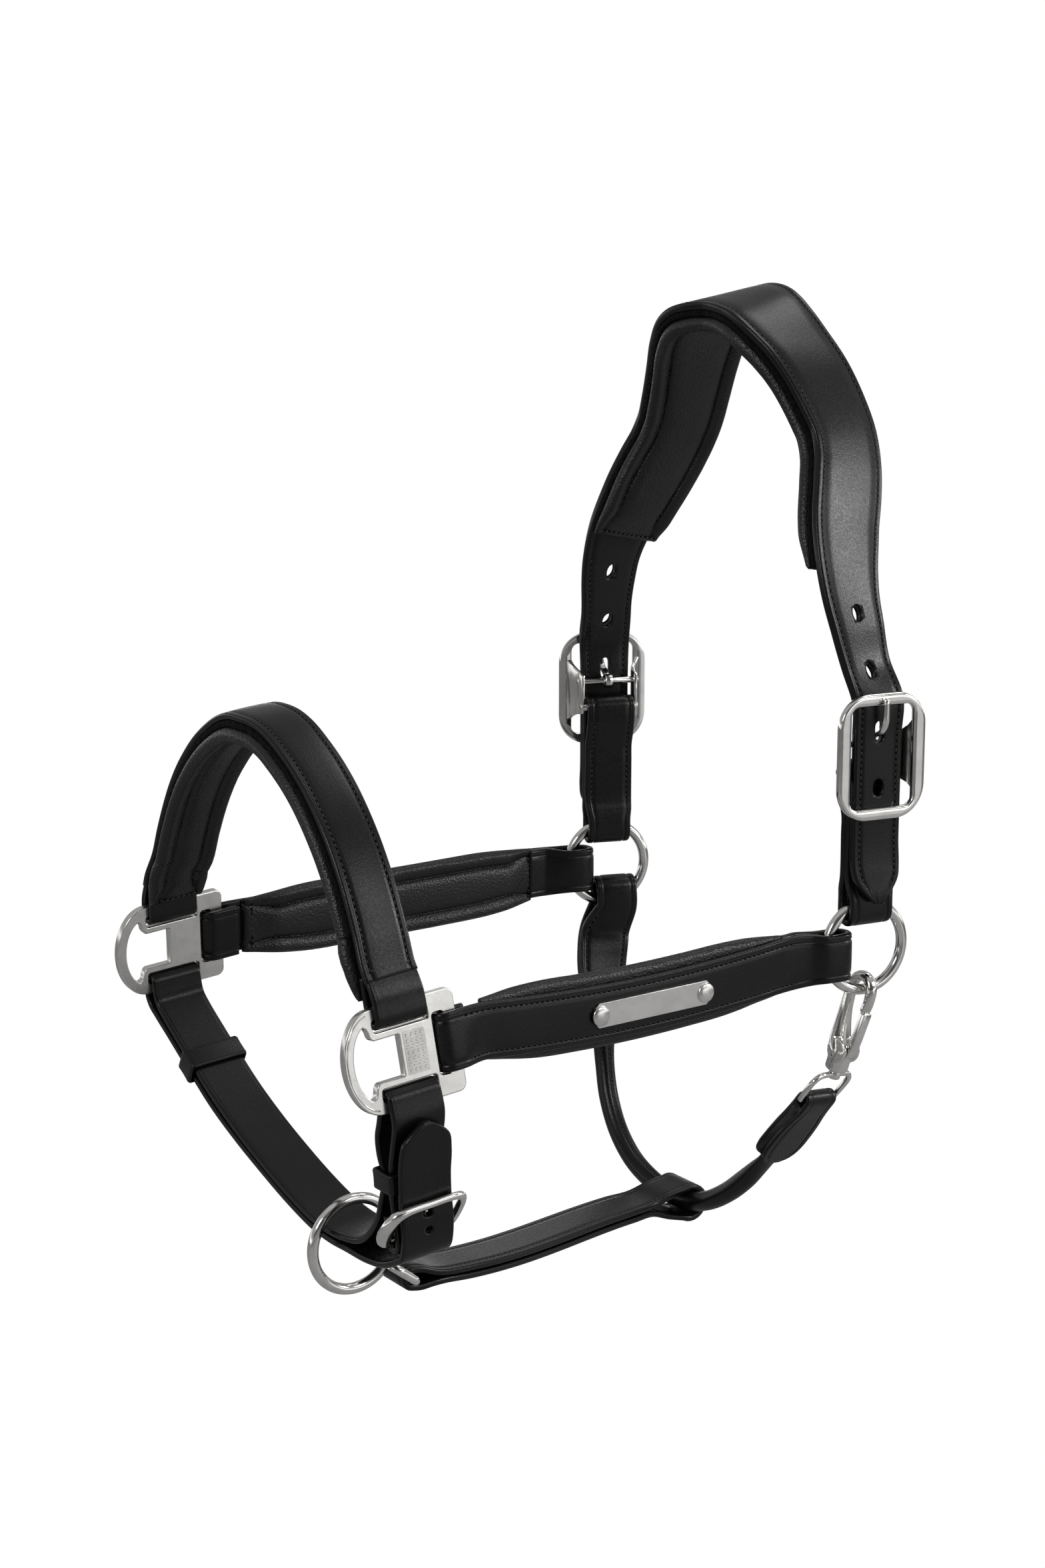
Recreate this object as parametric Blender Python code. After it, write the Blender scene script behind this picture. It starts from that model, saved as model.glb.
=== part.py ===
"""Padded leather headcollar for a full-size horse, built as its separate leather and metal pieces.

World frame: metres, +Z up, +X toward the back of the head, -Y the near (left) side.
The origin lies under the middle of the headpiece, where it rests on the poll.
Lengths in this file are millimetres; MM turns them into metres as each mesh is made.
"""

import math

import bmesh
import bpy
import numpy as np

MM = 0.001
NEAR = -1
FAR = 1
SIDES = {NEAR: "near", FAR: "far"}

# clearances and leather
GAP = 0.35
STRAP_WIDTH = 25.0
STRAP_HALF = STRAP_WIDTH / 2
LEATHER = 3.2
LOOP_HALF = 11.2

# the three round rings
RING_RADIUS = 20.5
RING_WIRE = 2.5
RING_X = -3.0
RING_Y = 100.0
RING_Z = -278.5
RING_YAW = {NEAR: 8.0, FAR: 18.0}
CHIN_RING = (-245.5, -46.0, -386.5)

# headpiece layers
HEAD_THICKNESS = 4.0
FELT_THICKNESS = 2.2
HEAD_PAD_THICKNESS = 6.6
PAD_GROWTH = 0.6
PAD_GAP = 1.0
HEAD_PAD_END = -106.0
STRAP_V = 5.75

# cheek buckles, heights above the ring centre
PIN_HEIGHT = 95.5
PIN_V = -0.2
PIN_RADIUS = 1.75
BAR_HEIGHT = 82.5
BAR_V = -2.2
BAR_RADIUS = 2.0
FRAME_HEIGHT = 90.5
FRAME_SIZE = (46.0, 58.0)
WINDOW_SIZE = (31.0, 45.0)
FRAME_BACK = 8.2
FRAME_FRONT = 11.2
ARM_INNER = 14.0
ARM_OUTER = 17.2
HOLE_HEIGHTS = (153.5, 128.0, 76.0)
HOLE_RADIUS = 2.2

# noseband plates
PLATE_CENTRE = (-255.5, 102.5, -284.0)
PLATE_LEAN = 8.0
PLATE_PITCH = 5.0
PLATE_HALF_THICKNESS = 2.0
PLATE_HALF_LENGTH = 27.5
PLATE_HALF_HEIGHT = 22.0
SLOT_INNER = 11.7
SLOT_OUTER = 17.0
STRAP_OFFSET = 1.0
WRAP_RADIUS = 3.9
BAR_WRAP_K = 17.8
REAR_SLOT = (16.0, 21.4)
REAR_WRAP_W = 22.2

# noseband and cheek padding
NOSE_PAD_THICKNESS = 7.0
NOSE_PAD_HALF = 15.2
CHEEK_PAD_THICKNESS = 7.0
CHEEK_SAG = {NEAR: 4.0, FAR: 0.6}

# name plate on the near cheek strap
NAMEPLATE = (64.0, 11.0, 1.0)
RIVET_SPACING = 59.0
RIVET_RADIUS = 4.0
RIVET_HEIGHT = 1.8
RIVET_SHANK = 1.2

# chin, jowl and throat
CHIN_LEATHER = 3.0
CHIN_BAR = (-100.6, -364.0)
CHIN_FRONT_BAR = (-113.8, -346.5)
CHIN_BAR_RADIUS = 2.0
LOOP_WIRE = 2.0
LOOP_ANGLE = -38.0
LOOP_FRONT_RADIUS = 15.4
LOOP_REAR_RADIUS = 29.4
LOOP_HALF_LENGTH = 15.5
SLEEVE_CENTRE = (-26.0, 6.0, -428.5)
ROLL_RADIUS = 5.0
SLEEVE_MID = 8.0
EYE_WIRE = 1.4


# ---------------------------------------------------------------- vectors and frames

def vec(*values):
    return np.array(values, dtype=float)


def unit(v):
    v = np.asarray(v, dtype=float)
    return v / np.linalg.norm(v)


X_AXIS = vec(1, 0, 0)
Y_AXIS = vec(0, 1, 0)
Z_AXIS = vec(0, 0, 1)


class Frame:
    """A local frame: w runs along a strap's width or a plate's length, v outward, k up."""

    def __init__(self, origin, w, v, k):
        self.origin = vec(*origin)
        self.w = unit(w)
        self.v = unit(v)
        self.k = unit(k)

    def at(self, w, v, k):
        return self.origin + self.w * w + self.v * v + self.k * k


def ring_frame(side):
    yaw = math.radians(RING_YAW[side])
    w = vec(math.cos(yaw), -math.sin(yaw), 0)
    v = side * vec(math.sin(yaw), math.cos(yaw), 0)
    return Frame((RING_X, side * RING_Y, RING_Z), w, v, Z_AXIS)


def plate_frame(side):
    pitch = math.radians(PLATE_PITCH)
    lean = math.radians(PLATE_LEAN)
    w = vec(math.cos(pitch), 0, math.sin(pitch))
    up = vec(-math.sin(pitch), 0, math.cos(pitch))
    k = up * math.cos(lean) - side * Y_AXIS * math.sin(lean)
    v = side * Y_AXIS * math.cos(lean) + up * math.sin(lean)
    x, y, z = PLATE_CENTRE
    return Frame((x, side * y, z), w, v, k)


# ---------------------------------------------------------------- materials

PALETTE = {
    "bridle_leather": ((0.012, 0.012, 0.013), 0.38, 0.0),
    "nappa_leather": ((0.018, 0.017, 0.017), 0.55, 0.0),
    "black_felt": ((0.009, 0.009, 0.010), 0.95, 0.0),
    "polished_nickel": ((0.78, 0.76, 0.72), 0.16, 1.0),
    "brushed_steel": ((0.74, 0.73, 0.71), 0.34, 1.0),
}


def material(piece, kind):
    colour, roughness, metallic = PALETTE[kind]
    made = bpy.data.materials.new(f"{piece}_{kind}")
    made.use_nodes = True
    shader = made.node_tree.nodes["Principled BSDF"]
    shader.inputs["Base Color"].default_value = (*colour, 1.0)
    shader.inputs["Roughness"].default_value = roughness
    shader.inputs["Metallic"].default_value = metallic
    return made


# ---------------------------------------------------------------- mesh building

def add_object(name, verts, faces, kind, origin=(0, 0, 0)):
    """Make one object from millimetre points, its own origin placed at `origin`."""
    origin = vec(*origin)
    points = (np.asarray(verts, dtype=float) - origin) * MM
    mesh = bpy.data.meshes.new(name)
    mesh.from_pydata([tuple(p) for p in points], [], faces)
    work = bmesh.new()
    work.from_mesh(mesh)
    bmesh.ops.recalc_face_normals(work, faces=work.faces)
    work.to_mesh(mesh)
    work.free()
    mesh.materials.append(material(name, kind))
    made = bpy.data.objects.new(name, mesh)
    made.location = tuple(origin * MM)
    bpy.context.collection.objects.link(made)
    return made


def loft(rings, closed=False, turned=None):
    """Skin a list of equal point rings; an open loft gets an end cap at each end.

    With `turned`, each face is split in two, along its other diagonal where that says so.
    """
    rings = [np.asarray(r, dtype=float) for r in rings]
    count = len(rings[0])
    faces = []
    last = len(rings) if closed else len(rings) - 1
    for i in range(last):
        a = i * count
        b = ((i + 1) % len(rings)) * count
        for j in range(count):
            n = (j + 1) % count
            if turned is None:
                faces.append((a + j, a + n, b + n, b + j))
            elif turned[j]:
                faces += [(a + j, a + n, b + j), (a + n, b + n, b + j)]
            else:
                faces += [(a + j, a + n, b + n), (a + j, b + n, b + j)]
    if not closed:
        faces.append(tuple(range(count))[::-1])
        end = (len(rings) - 1) * count
        faces.append(tuple(range(end, end + count)))
    return np.vstack(rings), faces


def tangents(points, closed=False):
    points = np.asarray(points, dtype=float)
    if closed:
        return [unit(points[(i + 1) % len(points)] - points[i - 1]) for i in range(len(points))]
    out = [unit(points[1] - points[0])]
    for i in range(1, len(points) - 1):
        out.append(unit(unit(points[i + 1] - points[i]) + unit(points[i] - points[i - 1])))
    out.append(unit(points[-1] - points[-2]))
    return out


def strap_section(half, thick, edge):
    """Strap cross-section with eased edges, as (across, through) pairs."""
    t = thick / 2
    return [(-half + edge, -t), (half - edge, -t), (half, 0), (half - edge, t), (-half + edge, t), (-half, 0)]


def pad_section(half, thick, _edge):
    """Cushion cross-section: flat against the strap, rolled at both edges."""
    t = thick / 2
    return [
        (-half * 0.72, -t), (half * 0.72, -t), (half * 0.95, -t * 0.62), (half, 0),
        (half * 0.93, t * 0.75), (half * 0.70, t), (-half * 0.70, t), (-half * 0.93, t * 0.75),
        (-half, 0), (-half * 0.95, -t * 0.62),
    ]


def ribbon(name, rows, kind, section=strap_section, edge=0.8, origin=(0, 0, 0)):
    """Sweep a strap through rows of (centre, width direction, half width, thickness).

    A fifth entry, where a row has one, is the direction through the strap at that row.
    Faces on both sides are split along the same diagonal, so that stacked layers stay parallel.
    """
    rings = []
    for row, along in zip(rows, tangents([row[0] for row in rows])):
        centre, across, half, thick = row[:4]
        if len(row) > 4:
            through = row[4]
        else:
            across = unit(np.asarray(across) - along * np.dot(across, along))
            through = np.cross(along, across)
        rings.append([centre + across * a + through * b for a, b in section(half, thick, edge)])
    outline = section(1.0, 0.2, 0.1)
    turned = [outline[(j + 1) % len(outline)][0] < outline[j][0] for j in range(len(outline))]
    verts, faces = loft(rings, turned=turned)
    return add_object(name, verts, faces, kind, origin)


def tube_rings(points, radii, count, guide, flatten=None):
    rings = []
    for i, (centre, along) in enumerate(zip(points, tangents(points))):
        a = unit(guide - along * np.dot(guide, along))
        b = np.cross(along, a)
        ra = radii[i]
        rb = radii[i] if flatten is None else flatten[i]
        ring = []
        for j in range(count):
            angle = 2 * math.pi * j / count
            ring.append(centre + a * ra * math.cos(angle) + b * rb * math.sin(angle))
        rings.append(ring)
    return rings


def tube(name, points, radii, kind, guide=X_AXIS, count=10, origin=(0, 0, 0), flatten=None):
    verts, faces = loft(tube_rings([vec(*p) for p in points], radii, count, guide, flatten))
    return add_object(name, verts, faces, kind, origin)


def closed_tube(name, points, radius, kind, guide, count=8, origin=(0, 0, 0)):
    """A closed wire of round section whose plane is square to `guide`."""
    points = [vec(*p) for p in points]
    radii = radius if isinstance(radius, (list, tuple)) else [radius] * len(points)
    rings = []
    for centre, along, r in zip(points, tangents(points, closed=True), radii):
        a = unit(guide)
        b = np.cross(along, a)
        angles = [2 * math.pi * j / count for j in range(count)]
        rings.append([centre + a * r * math.cos(t) + b * r * math.sin(t) for t in angles])
    verts, faces = loft(rings, closed=True)
    return add_object(name, verts, faces, kind, origin)


def prism(name, outline, frame, low, high, kind="polished_nickel", origin=(0, 0, 0)):
    """Extrude a (w, k) outline between two values of the frame's outward direction v."""
    rings = [[frame.at(w, v, k) for w, k in outline] for v in (low, high)]
    verts, faces = loft(rings)
    return add_object(name, verts, faces, kind, origin)


def rod(name, start, end, radius, kind="polished_nickel", count=16, origin=(0, 0, 0)):
    start = vec(*start)
    end = vec(*end)
    guide = X_AXIS if abs(unit(end - start)[0]) < 0.8 else Z_AXIS
    verts, faces = loft(tube_rings([start, end], [radius, radius], count, guide))
    return add_object(name, verts, faces, kind, origin)


def combine(target, tools, operation):
    """Join tools to the target, or cut them from it, and bake the result."""
    for tool in tools:
        step = target.modifiers.new(operation.lower(), "BOOLEAN")
        step.operation = operation
        step.solver = "EXACT"
        step.object = tool
    bpy.context.view_layer.update()
    graph = bpy.context.evaluated_depsgraph_get()
    solid = bpy.data.meshes.new_from_object(target.evaluated_get(graph))
    target.modifiers.clear()
    target.data = solid
    for tool in tools:
        bpy.data.objects.remove(tool)
    return target


def arc(start, end, steps):
    """Angles in radians from start to end degrees."""
    return [math.radians(start + (end - start) * i / steps) for i in range(steps + 1)]


def rounded_rectangle(width, height, radius, steps=4):
    outline = []
    corners = ((1, 1, 0), (-1, 1, 90), (-1, -1, 180), (1, -1, 270))
    for sx, sy, turn in corners:
        cx = sx * (width / 2 - radius)
        cy = sy * (height / 2 - radius)
        for t in arc(turn, turn + 90, steps):
            outline.append((cx + radius * math.cos(t), cy + radius * math.sin(t)))
    return outline


def smooth_rows(rows, steps):
    """Pass a Catmull-Rom curve through strap rows, `steps` stations per span."""
    table = np.array([np.r_[c, w, half, thick] for c, w, half, thick in rows])
    padded = np.vstack([2 * table[0] - table[1], table, 2 * table[-1] - table[-2]])
    out = []
    for i in range(1, len(padded) - 2):
        p0, p1, p2, p3 = padded[i - 1:i + 3]
        for j in range(steps):
            t = j / steps
            out.append(0.5 * (2 * p1 + (p2 - p0) * t + (2 * p0 - 5 * p1 + 4 * p2 - p3) * t ** 2
                              + (3 * p1 - p0 - 3 * p2 + p3) * t ** 3))
    out.append(table[-1])
    return [(r[:3], r[3:6], r[6], r[7]) for r in out]


def layer(rows, depth, thick, grow=0.0):
    """Rows for a layer whose middle lies `depth` inside the surface rows."""
    out = []
    for (centre, across, half, _), along in zip(rows, tangents([r[0] for r in rows])):
        across = unit(across - along * np.dot(across, along))
        inward = np.cross(along, across)
        out.append((centre + inward * depth, across, half + grow, thick, inward))
    return out


# ---------------------------------------------------------------- headpiece

# outer surface of the headpiece from the poll down one side: front edge, then rear edge
HEAD_EDGES = [
    ((-22, 0, 11), (21, 0, 20)),
    ((-26, 19, 8.5), (18.5, 15.5, 16)),
    ((-26, 30.5, 4), (21, 27, 7)),
    ((-21.5, 42, -5.5), (24.5, 36, -4)),
    ((-16.5, 51.5, -18), (27.5, 46, -17)),
    ((-12.5, 60.5, -33), (30, 55, -32.5)),
    ((-10.5, 67, -45), (31, 61, -45)),
    ((-12, 72.8, -58), (29, 66.8, -58)),
    ((-16.5, 78, -71), (24.8, 72, -70.5)),
    ((-21.5, 83, -85.5), (18.5, 78, -85)),
    ((-24.5, 88.5, -101), (12.5, 85, -101)),
    ((-24.5, 93, -116), (9, 91, -116)),
    ((-22.5, 97, -130), (8.5, 95.5, -130)),
    ((-19.5, 101, -146), (9, 99.5, -146)),
]
# heights above the ring centre, outward place and half width of the strap from there to its tip
HEAD_TAIL = [
    (116, 5.75, 13.1), (100, 5.75, 12.6), (84, 5.75, 12.5), (66, 5.75, 12.5), (50, 5.8, 12.5),
    (40, 6.6, 12.5), (34, 7.8, 11.4), (29, 8.8, 8.2), (25, 9.3, 4.4), (22.6, 9.4, 1.8),
]


def head_side(side):
    """Outer-surface rows down one side, poll first."""
    rows = []
    for front, rear in HEAD_EDGES:
        a = vec(front[0], side * front[1], front[2])
        b = vec(rear[0], side * rear[1], rear[2])
        rows.append(((a + b) / 2, unit(b - a), np.linalg.norm(b - a) / 2, HEAD_THICKNESS))
    frame = ring_frame(side)
    for height, out, half in HEAD_TAIL:
        surface = frame.at(0, out + HEAD_THICKNESS / 2, height)
        rows.append((surface, frame.w, half, HEAD_THICKNESS))
    return rows


def head_rows():
    near = smooth_rows(head_side(NEAR)[::-1], 2)
    far = smooth_rows(head_side(FAR), 2)
    return near[:-1] + far


def build_headpiece():
    surface = head_rows()
    strap = ribbon("headpiece_strap", layer(surface, HEAD_THICKNESS / 2, HEAD_THICKNESS), "bridle_leather")
    cutters = []
    for side in SIDES:
        frame = ring_frame(side)
        for height in HOLE_HEIGHTS:
            cutters.append(strap_hole(surface, frame, side, height))
        outline = [(w * 0.92, k + PIN_HEIGHT + 5.5) for w, k in rounded_rectangle(5.4, 13.0, 2.6, 2)]
        cutters.append(prism("slot", outline, frame, STRAP_V - 6, STRAP_V + 6))
    combine(strap, cutters, "DIFFERENCE")
    depth = HEAD_THICKNESS + GAP + FELT_THICKNESS / 2
    felt = above(layer(surface, depth, FELT_THICKNESS), HEAD_PAD_END)
    ribbon("headpiece_felt", felt, "black_felt")
    depth = HEAD_THICKNESS + GAP + FELT_THICKNESS + PAD_GAP + HEAD_PAD_THICKNESS / 2
    pad = above(layer(surface, depth, HEAD_PAD_THICKNESS, PAD_GROWTH), HEAD_PAD_END)
    ribbon("headpiece_pad", pad, "nappa_leather", pad_section)


def above(rows, level):
    return [row for row in rows if row[0][2] > level]


def strap_hole(surface, frame, side, height):
    """A punch through the headpiece strap at one height on one side."""
    level = RING_Z + height
    own = [row for row in surface if side * row[0][1] > 60]
    row = min(own, key=lambda r: abs(r[0][2] - level))
    centre = vec(row[0][0], row[0][1], level)
    across = frame.v if height < 100 else unit(vec(0, side, 0.12))
    return rod("punch", centre - across * 9, centre + across * 9, HOLE_RADIUS, count=12)


# ---------------------------------------------------------------- cheekpieces and buckles

def wrap_points(frame, centre, radius, start, end, steps):
    """(v, k) arc in a frame's cross plane."""
    return [(centre[0] + radius * math.cos(t), centre[1] + radius * math.sin(t)) for t in arc(start, end, steps)]


def build_cheekpiece(side):
    frame = ring_frame(side)
    mid = 54.0
    bar_mid = BAR_RADIUS + GAP + LEATHER / 2
    inner = 3.1 + LEATHER / 2
    path = [(-1.85, mid - 0.5, STRAP_HALF), (-1.85, 34, STRAP_HALF), (-3.6, 28, 12.0), (-inner, 23.5, LOOP_HALF)]
    path += [(v, k, LOOP_HALF) for v, k in wrap_points(frame, (0, 16.9), inner, 180, 360, 6)]
    path += [(inner, 23.5, LOOP_HALF), (3.6, 28, 12.0), (1.85, 34, STRAP_HALF), (1.75, mid, STRAP_HALF)]
    path += [(v, k, STRAP_HALF) for v, k in wrap_points(frame, (BAR_V, BAR_HEIGHT), bar_mid, 0, 180, 6)]
    path += [(BAR_V - bar_mid, 77, STRAP_HALF), (-4.2, 69, STRAP_HALF), (-1.85, 62, STRAP_HALF)]
    path += [(-1.85, mid + 0.5, STRAP_HALF)]
    rows = [(frame.at(0, v, k), frame.w, half, LEATHER) for v, k, half in path]
    ribbon(f"{SIDES[side]}_cheekpiece", rows, "bridle_leather", edge=0.7)


def frame_ring_loop(frame, size, radius, v, steps=6):
    return [frame.at(w, v, k + FRAME_HEIGHT) for w, k in rounded_rectangle(size[0], size[1], radius, steps)]


def build_buckle(side):
    frame = ring_frame(side)
    name = f"{SIDES[side]}_buckle"
    outer = FRAME_SIZE
    inner = WINDOW_SIZE
    rings = [
        frame_ring_loop(frame, outer, 15.5, FRAME_BACK),
        frame_ring_loop(frame, outer, 15.5, FRAME_FRONT - 1.0),
        frame_ring_loop(frame, (outer[0] - 2.6, outer[1] - 2.6), 14.2, FRAME_FRONT),
        frame_ring_loop(frame, (inner[0] + 2.0, inner[1] + 2.0), 5.0, FRAME_FRONT),
        frame_ring_loop(frame, inner, 4.0, FRAME_FRONT - 0.8),
        frame_ring_loop(frame, inner, 4.0, FRAME_BACK),
    ]
    verts, faces = loft(rings, closed=True)
    body = add_object(f"{name}_frame", verts, faces, "polished_nickel")
    parts = []
    for sign in (-1, 1):
        outline = [(ARM_INNER, 79), (ARM_OUTER, 79), (ARM_OUTER, 99.5), (ARM_INNER, 99.5)]
        outline = [(sign * w, k) for w, k in outline]
        parts.append(prism("arm", outline, frame, -4.9, FRAME_BACK + 1.2))
    bar_start = frame.at(-ARM_OUTER + 1, BAR_V, BAR_HEIGHT)
    bar_end = frame.at(ARM_OUTER - 1, BAR_V, BAR_HEIGHT)
    parts.append(rod("bar", bar_start, bar_end, BAR_RADIUS, count=12))
    combine(body, parts, "UNION")
    pin_hole = rod("drill", frame.at(-25, PIN_V, PIN_HEIGHT), frame.at(25, PIN_V, PIN_HEIGHT), PIN_RADIUS + GAP)
    combine(body, [pin_hole], "DIFFERENCE")
    start = frame.at(-ARM_OUTER, PIN_V, PIN_HEIGHT)
    end = frame.at(ARM_OUTER, PIN_V, PIN_HEIGHT)
    rod(f"{name}_pin", start, end, PIN_RADIUS)
    build_tongue(side, frame)


def build_tongue(side, frame):
    """Buckle tongue: an eye round the pin and a blade through the strap to the top of the frame."""
    pivot = frame.at(0, PIN_V, PIN_HEIGHT)
    blade = [(PIN_V + 1.6, 98.0), (PIN_V + 4.6, 99.6), (9.6, 102.0), (12.4, 106.5), (12.9, 112.0), (12.9, 117.6)]
    points = [frame.at(0, v, k) for v, k in blade]
    name = f"{SIDES[side]}_buckle_tongue"
    body = tube(name, points, [1.7, 1.7, 1.75, 1.7, 1.55, 1.1], "polished_nickel", frame.w, 8, pivot,
                flatten=[1.2, 1.2, 1.3, 1.25, 1.2, 0.9])
    eye = rod("eye", frame.at(-1.9, PIN_V, PIN_HEIGHT), frame.at(1.9, PIN_V, PIN_HEIGHT), 3.6)
    combine(body, [eye], "UNION")
    bore = rod("bore", frame.at(-5, PIN_V, PIN_HEIGHT), frame.at(5, PIN_V, PIN_HEIGHT), PIN_RADIUS + GAP)
    combine(body, [bore], "DIFFERENCE")


# ---------------------------------------------------------------- rings

def build_ring(name, frame):
    points = []
    for i in range(32):
        t = 2 * math.pi * i / 32
        points.append(frame.at(RING_RADIUS * math.cos(t), 0, RING_RADIUS * math.sin(t)))
    closed_tube(name, points, RING_WIRE, "polished_nickel", frame.v, 8, frame.origin)


# ---------------------------------------------------------------- noseband plates

def plate_outline():
    outline = rounded_corner((27.5, -22), 3.5, -90) + rounded_corner((27.5, 22), 3.5, 0)
    for t in arc(90, 270, 16):
        outline.append((-12.5 + 15.0 * math.cos(t), 22.0 * math.sin(t)))
    return outline


def rounded_corner(corner, radius, start):
    sx = 1 if corner[0] > 0 else -1
    sy = 1 if corner[1] > 0 else -1
    cx = corner[0] - sx * radius
    cy = corner[1] - sy * radius
    return [(cx + radius * math.cos(t), cy + radius * math.sin(t)) for t in arc(start, start + 90, 3)]


def window_outline():
    """The D-shaped window with its narrower square bay toward the middle of the plate."""
    outline = [(-0.6, -8.8), (-0.6, 8.8), (-13.2, 8.8), (-14.6, 10.6), (-15.6, 14.6)]
    for t in arc(112, 248, 8):
        outline.append((-13.4 + 9.6 * math.cos(t), 16.2 * math.sin(t)))
    outline += [(-15.6, -14.6), (-14.6, -10.6), (-13.2, -8.8)]
    return outline


def build_plate(side):
    frame = plate_frame(side)
    name = f"{SIDES[side]}_noseband_plate"
    t = PLATE_HALF_THICKNESS
    body = prism(name, plate_outline(), frame, -t, t)
    half = STRAP_HALF + 0.7
    slot_mid = (SLOT_INNER + SLOT_OUTER) / 2
    slot = rounded_rectangle(2 * half, SLOT_OUTER - SLOT_INNER, 1.2, 2)
    rear_mid = sum(REAR_SLOT) / 2
    rear = rounded_rectangle(REAR_SLOT[1] - REAR_SLOT[0], 2 * half, 1.5, 2)
    cutters = [prism("window", window_outline(), frame, -9, 9)]
    for sign in (-1, 1):
        outline = [(w + STRAP_OFFSET, k + sign * slot_mid) for w, k in slot]
        cutters.append(prism("slot", outline, frame, -9, 9))
    cutters.append(prism("slot", [(w + rear_mid, k) for w, k in rear], frame, -9, 9))
    combine(body, cutters, "DIFFERENCE")


# ---------------------------------------------------------------- noseband

# outer surface of the noseband from the nose bridge down one side: x, |y|, z
NOSE_ARCH = [
    (-260.3, 0, -156.2), (-259.8, 11, -157.0), (-259.2, 22, -160.4), (-258.8, 33, -166.0),
    (-258.4, 44, -173.0), (-258.0, 54, -181.2), (-257.8, 63, -190.2), (-257.5, 71, -200.0),
    (-257.2, 78.2, -210.8), (-257.0, 84.8, -222.6), (-256.9, 91.0, -235.5),
]
# where the felt ends and where the pad turns inside the strap's folded ends
NOSE_FELT_END = -235.5
NOSE_PAD_TURN = -236.5
# height, outward place, half width and thickness of the pad's end, in the plate's frame
NOSE_PAD_TAIL = [(40.5, -9.7, 15.0, 6.8), (34.5, -9.8, 14.8, 6.4), (28.5, -9.4, 14.2, 5.8), (24.6, -8.8, 13.2, 4.6)]
NOSE_TILT = (7.0, 6.0, 5.0, 4.0, 3.5, 3.0, 3.0, 3.0, 3.5, 4.0, 4.5)


def nose_side(side):
    """Outer-surface rows down one side, nose bridge first, ending beside the plate."""
    rows = []
    for (x, y, z), tilt in zip(NOSE_ARCH, NOSE_TILT):
        angle = math.radians(tilt)
        rows.append((vec(x, side * y, z), vec(math.cos(angle), 0, math.sin(angle)), STRAP_HALF, LEATHER))
    frame = plate_frame(side)
    surface = WRAP_RADIUS + LEATHER / 2
    for v, k in ((surface - 3.2, 38.0), (surface - 1.0, 30.0), (surface, 23.5)):
        rows.append((frame.at(STRAP_OFFSET, v, k), frame.w, STRAP_HALF, LEATHER))
    return rows


def nose_wrap(side):
    """Midline rows round the plate's top bar and up the inside."""
    frame = plate_frame(side)
    points = wrap_points(frame, (0, BAR_WRAP_K), WRAP_RADIUS, 0, -180, 6)
    points += [(-WRAP_RADIUS, 23.0), (-WRAP_RADIUS, 28.0), (-WRAP_RADIUS, 34.0)]
    return [(frame.at(STRAP_OFFSET, v, k), frame.w, STRAP_HALF, LEATHER) for v, k in points]


def build_noseband():
    surface = smooth_rows(nose_side(NEAR)[::-1], 2)[:-1] + smooth_rows(nose_side(FAR), 2)
    mid = layer(surface, LEATHER / 2, LEATHER)
    rows = nose_wrap(NEAR)[::-1] + mid + nose_wrap(FAR)
    ribbon("noseband_strap", rows, "bridle_leather")
    depth = LEATHER + GAP + FELT_THICKNESS / 2
    felt = above(layer(surface, depth, FELT_THICKNESS, 1.2), NOSE_FELT_END)
    ribbon("noseband_felt", felt, "black_felt")
    depth = LEATHER + GAP + FELT_THICKNESS + PAD_GAP + NOSE_PAD_THICKNESS / 2
    grow = NOSE_PAD_HALF - STRAP_HALF
    pad = above(layer(surface, depth, NOSE_PAD_THICKNESS, grow), NOSE_PAD_TURN)
    pad = pad_tail(NEAR)[::-1] + pad + pad_tail(FAR)
    ribbon("noseband_pad", pad, "nappa_leather", pad_section)


def pad_tail(side):
    """The pad's lower end, tapering beside the strap's folded end."""
    frame = plate_frame(side)
    rows = []
    for k, v, half, thick in NOSE_PAD_TAIL:
        rows.append((frame.at(STRAP_OFFSET, v, k), frame.w, half, thick))
    return rows


# ---------------------------------------------------------------- cheek straps

def cheek_ends(side):
    """Midline points where the folded ends close: beside the plate and beside the ring."""
    plate = plate_frame(side)
    ring = ring_frame(side)
    return plate.at(37, 1.2, 0), ring.at(-36, 1.0, -2.5)


def cheek_frame(side):
    """Frame along the straight run of a cheek strap: w to the rear, v outward, k up."""
    start, end = cheek_ends(side)
    w = unit(end - start)
    v = side * Y_AXIS
    v = unit(v - w * np.dot(v, w))
    k = side * np.cross(w, v)
    return Frame(start, w, v, k), np.linalg.norm(end - start)


def sag(side, share):
    """How far the strap hangs below its straight run at a share of its length."""
    return CHEEK_SAG[side] * math.sin(math.pi * min(max(share, 0), 1))


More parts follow.
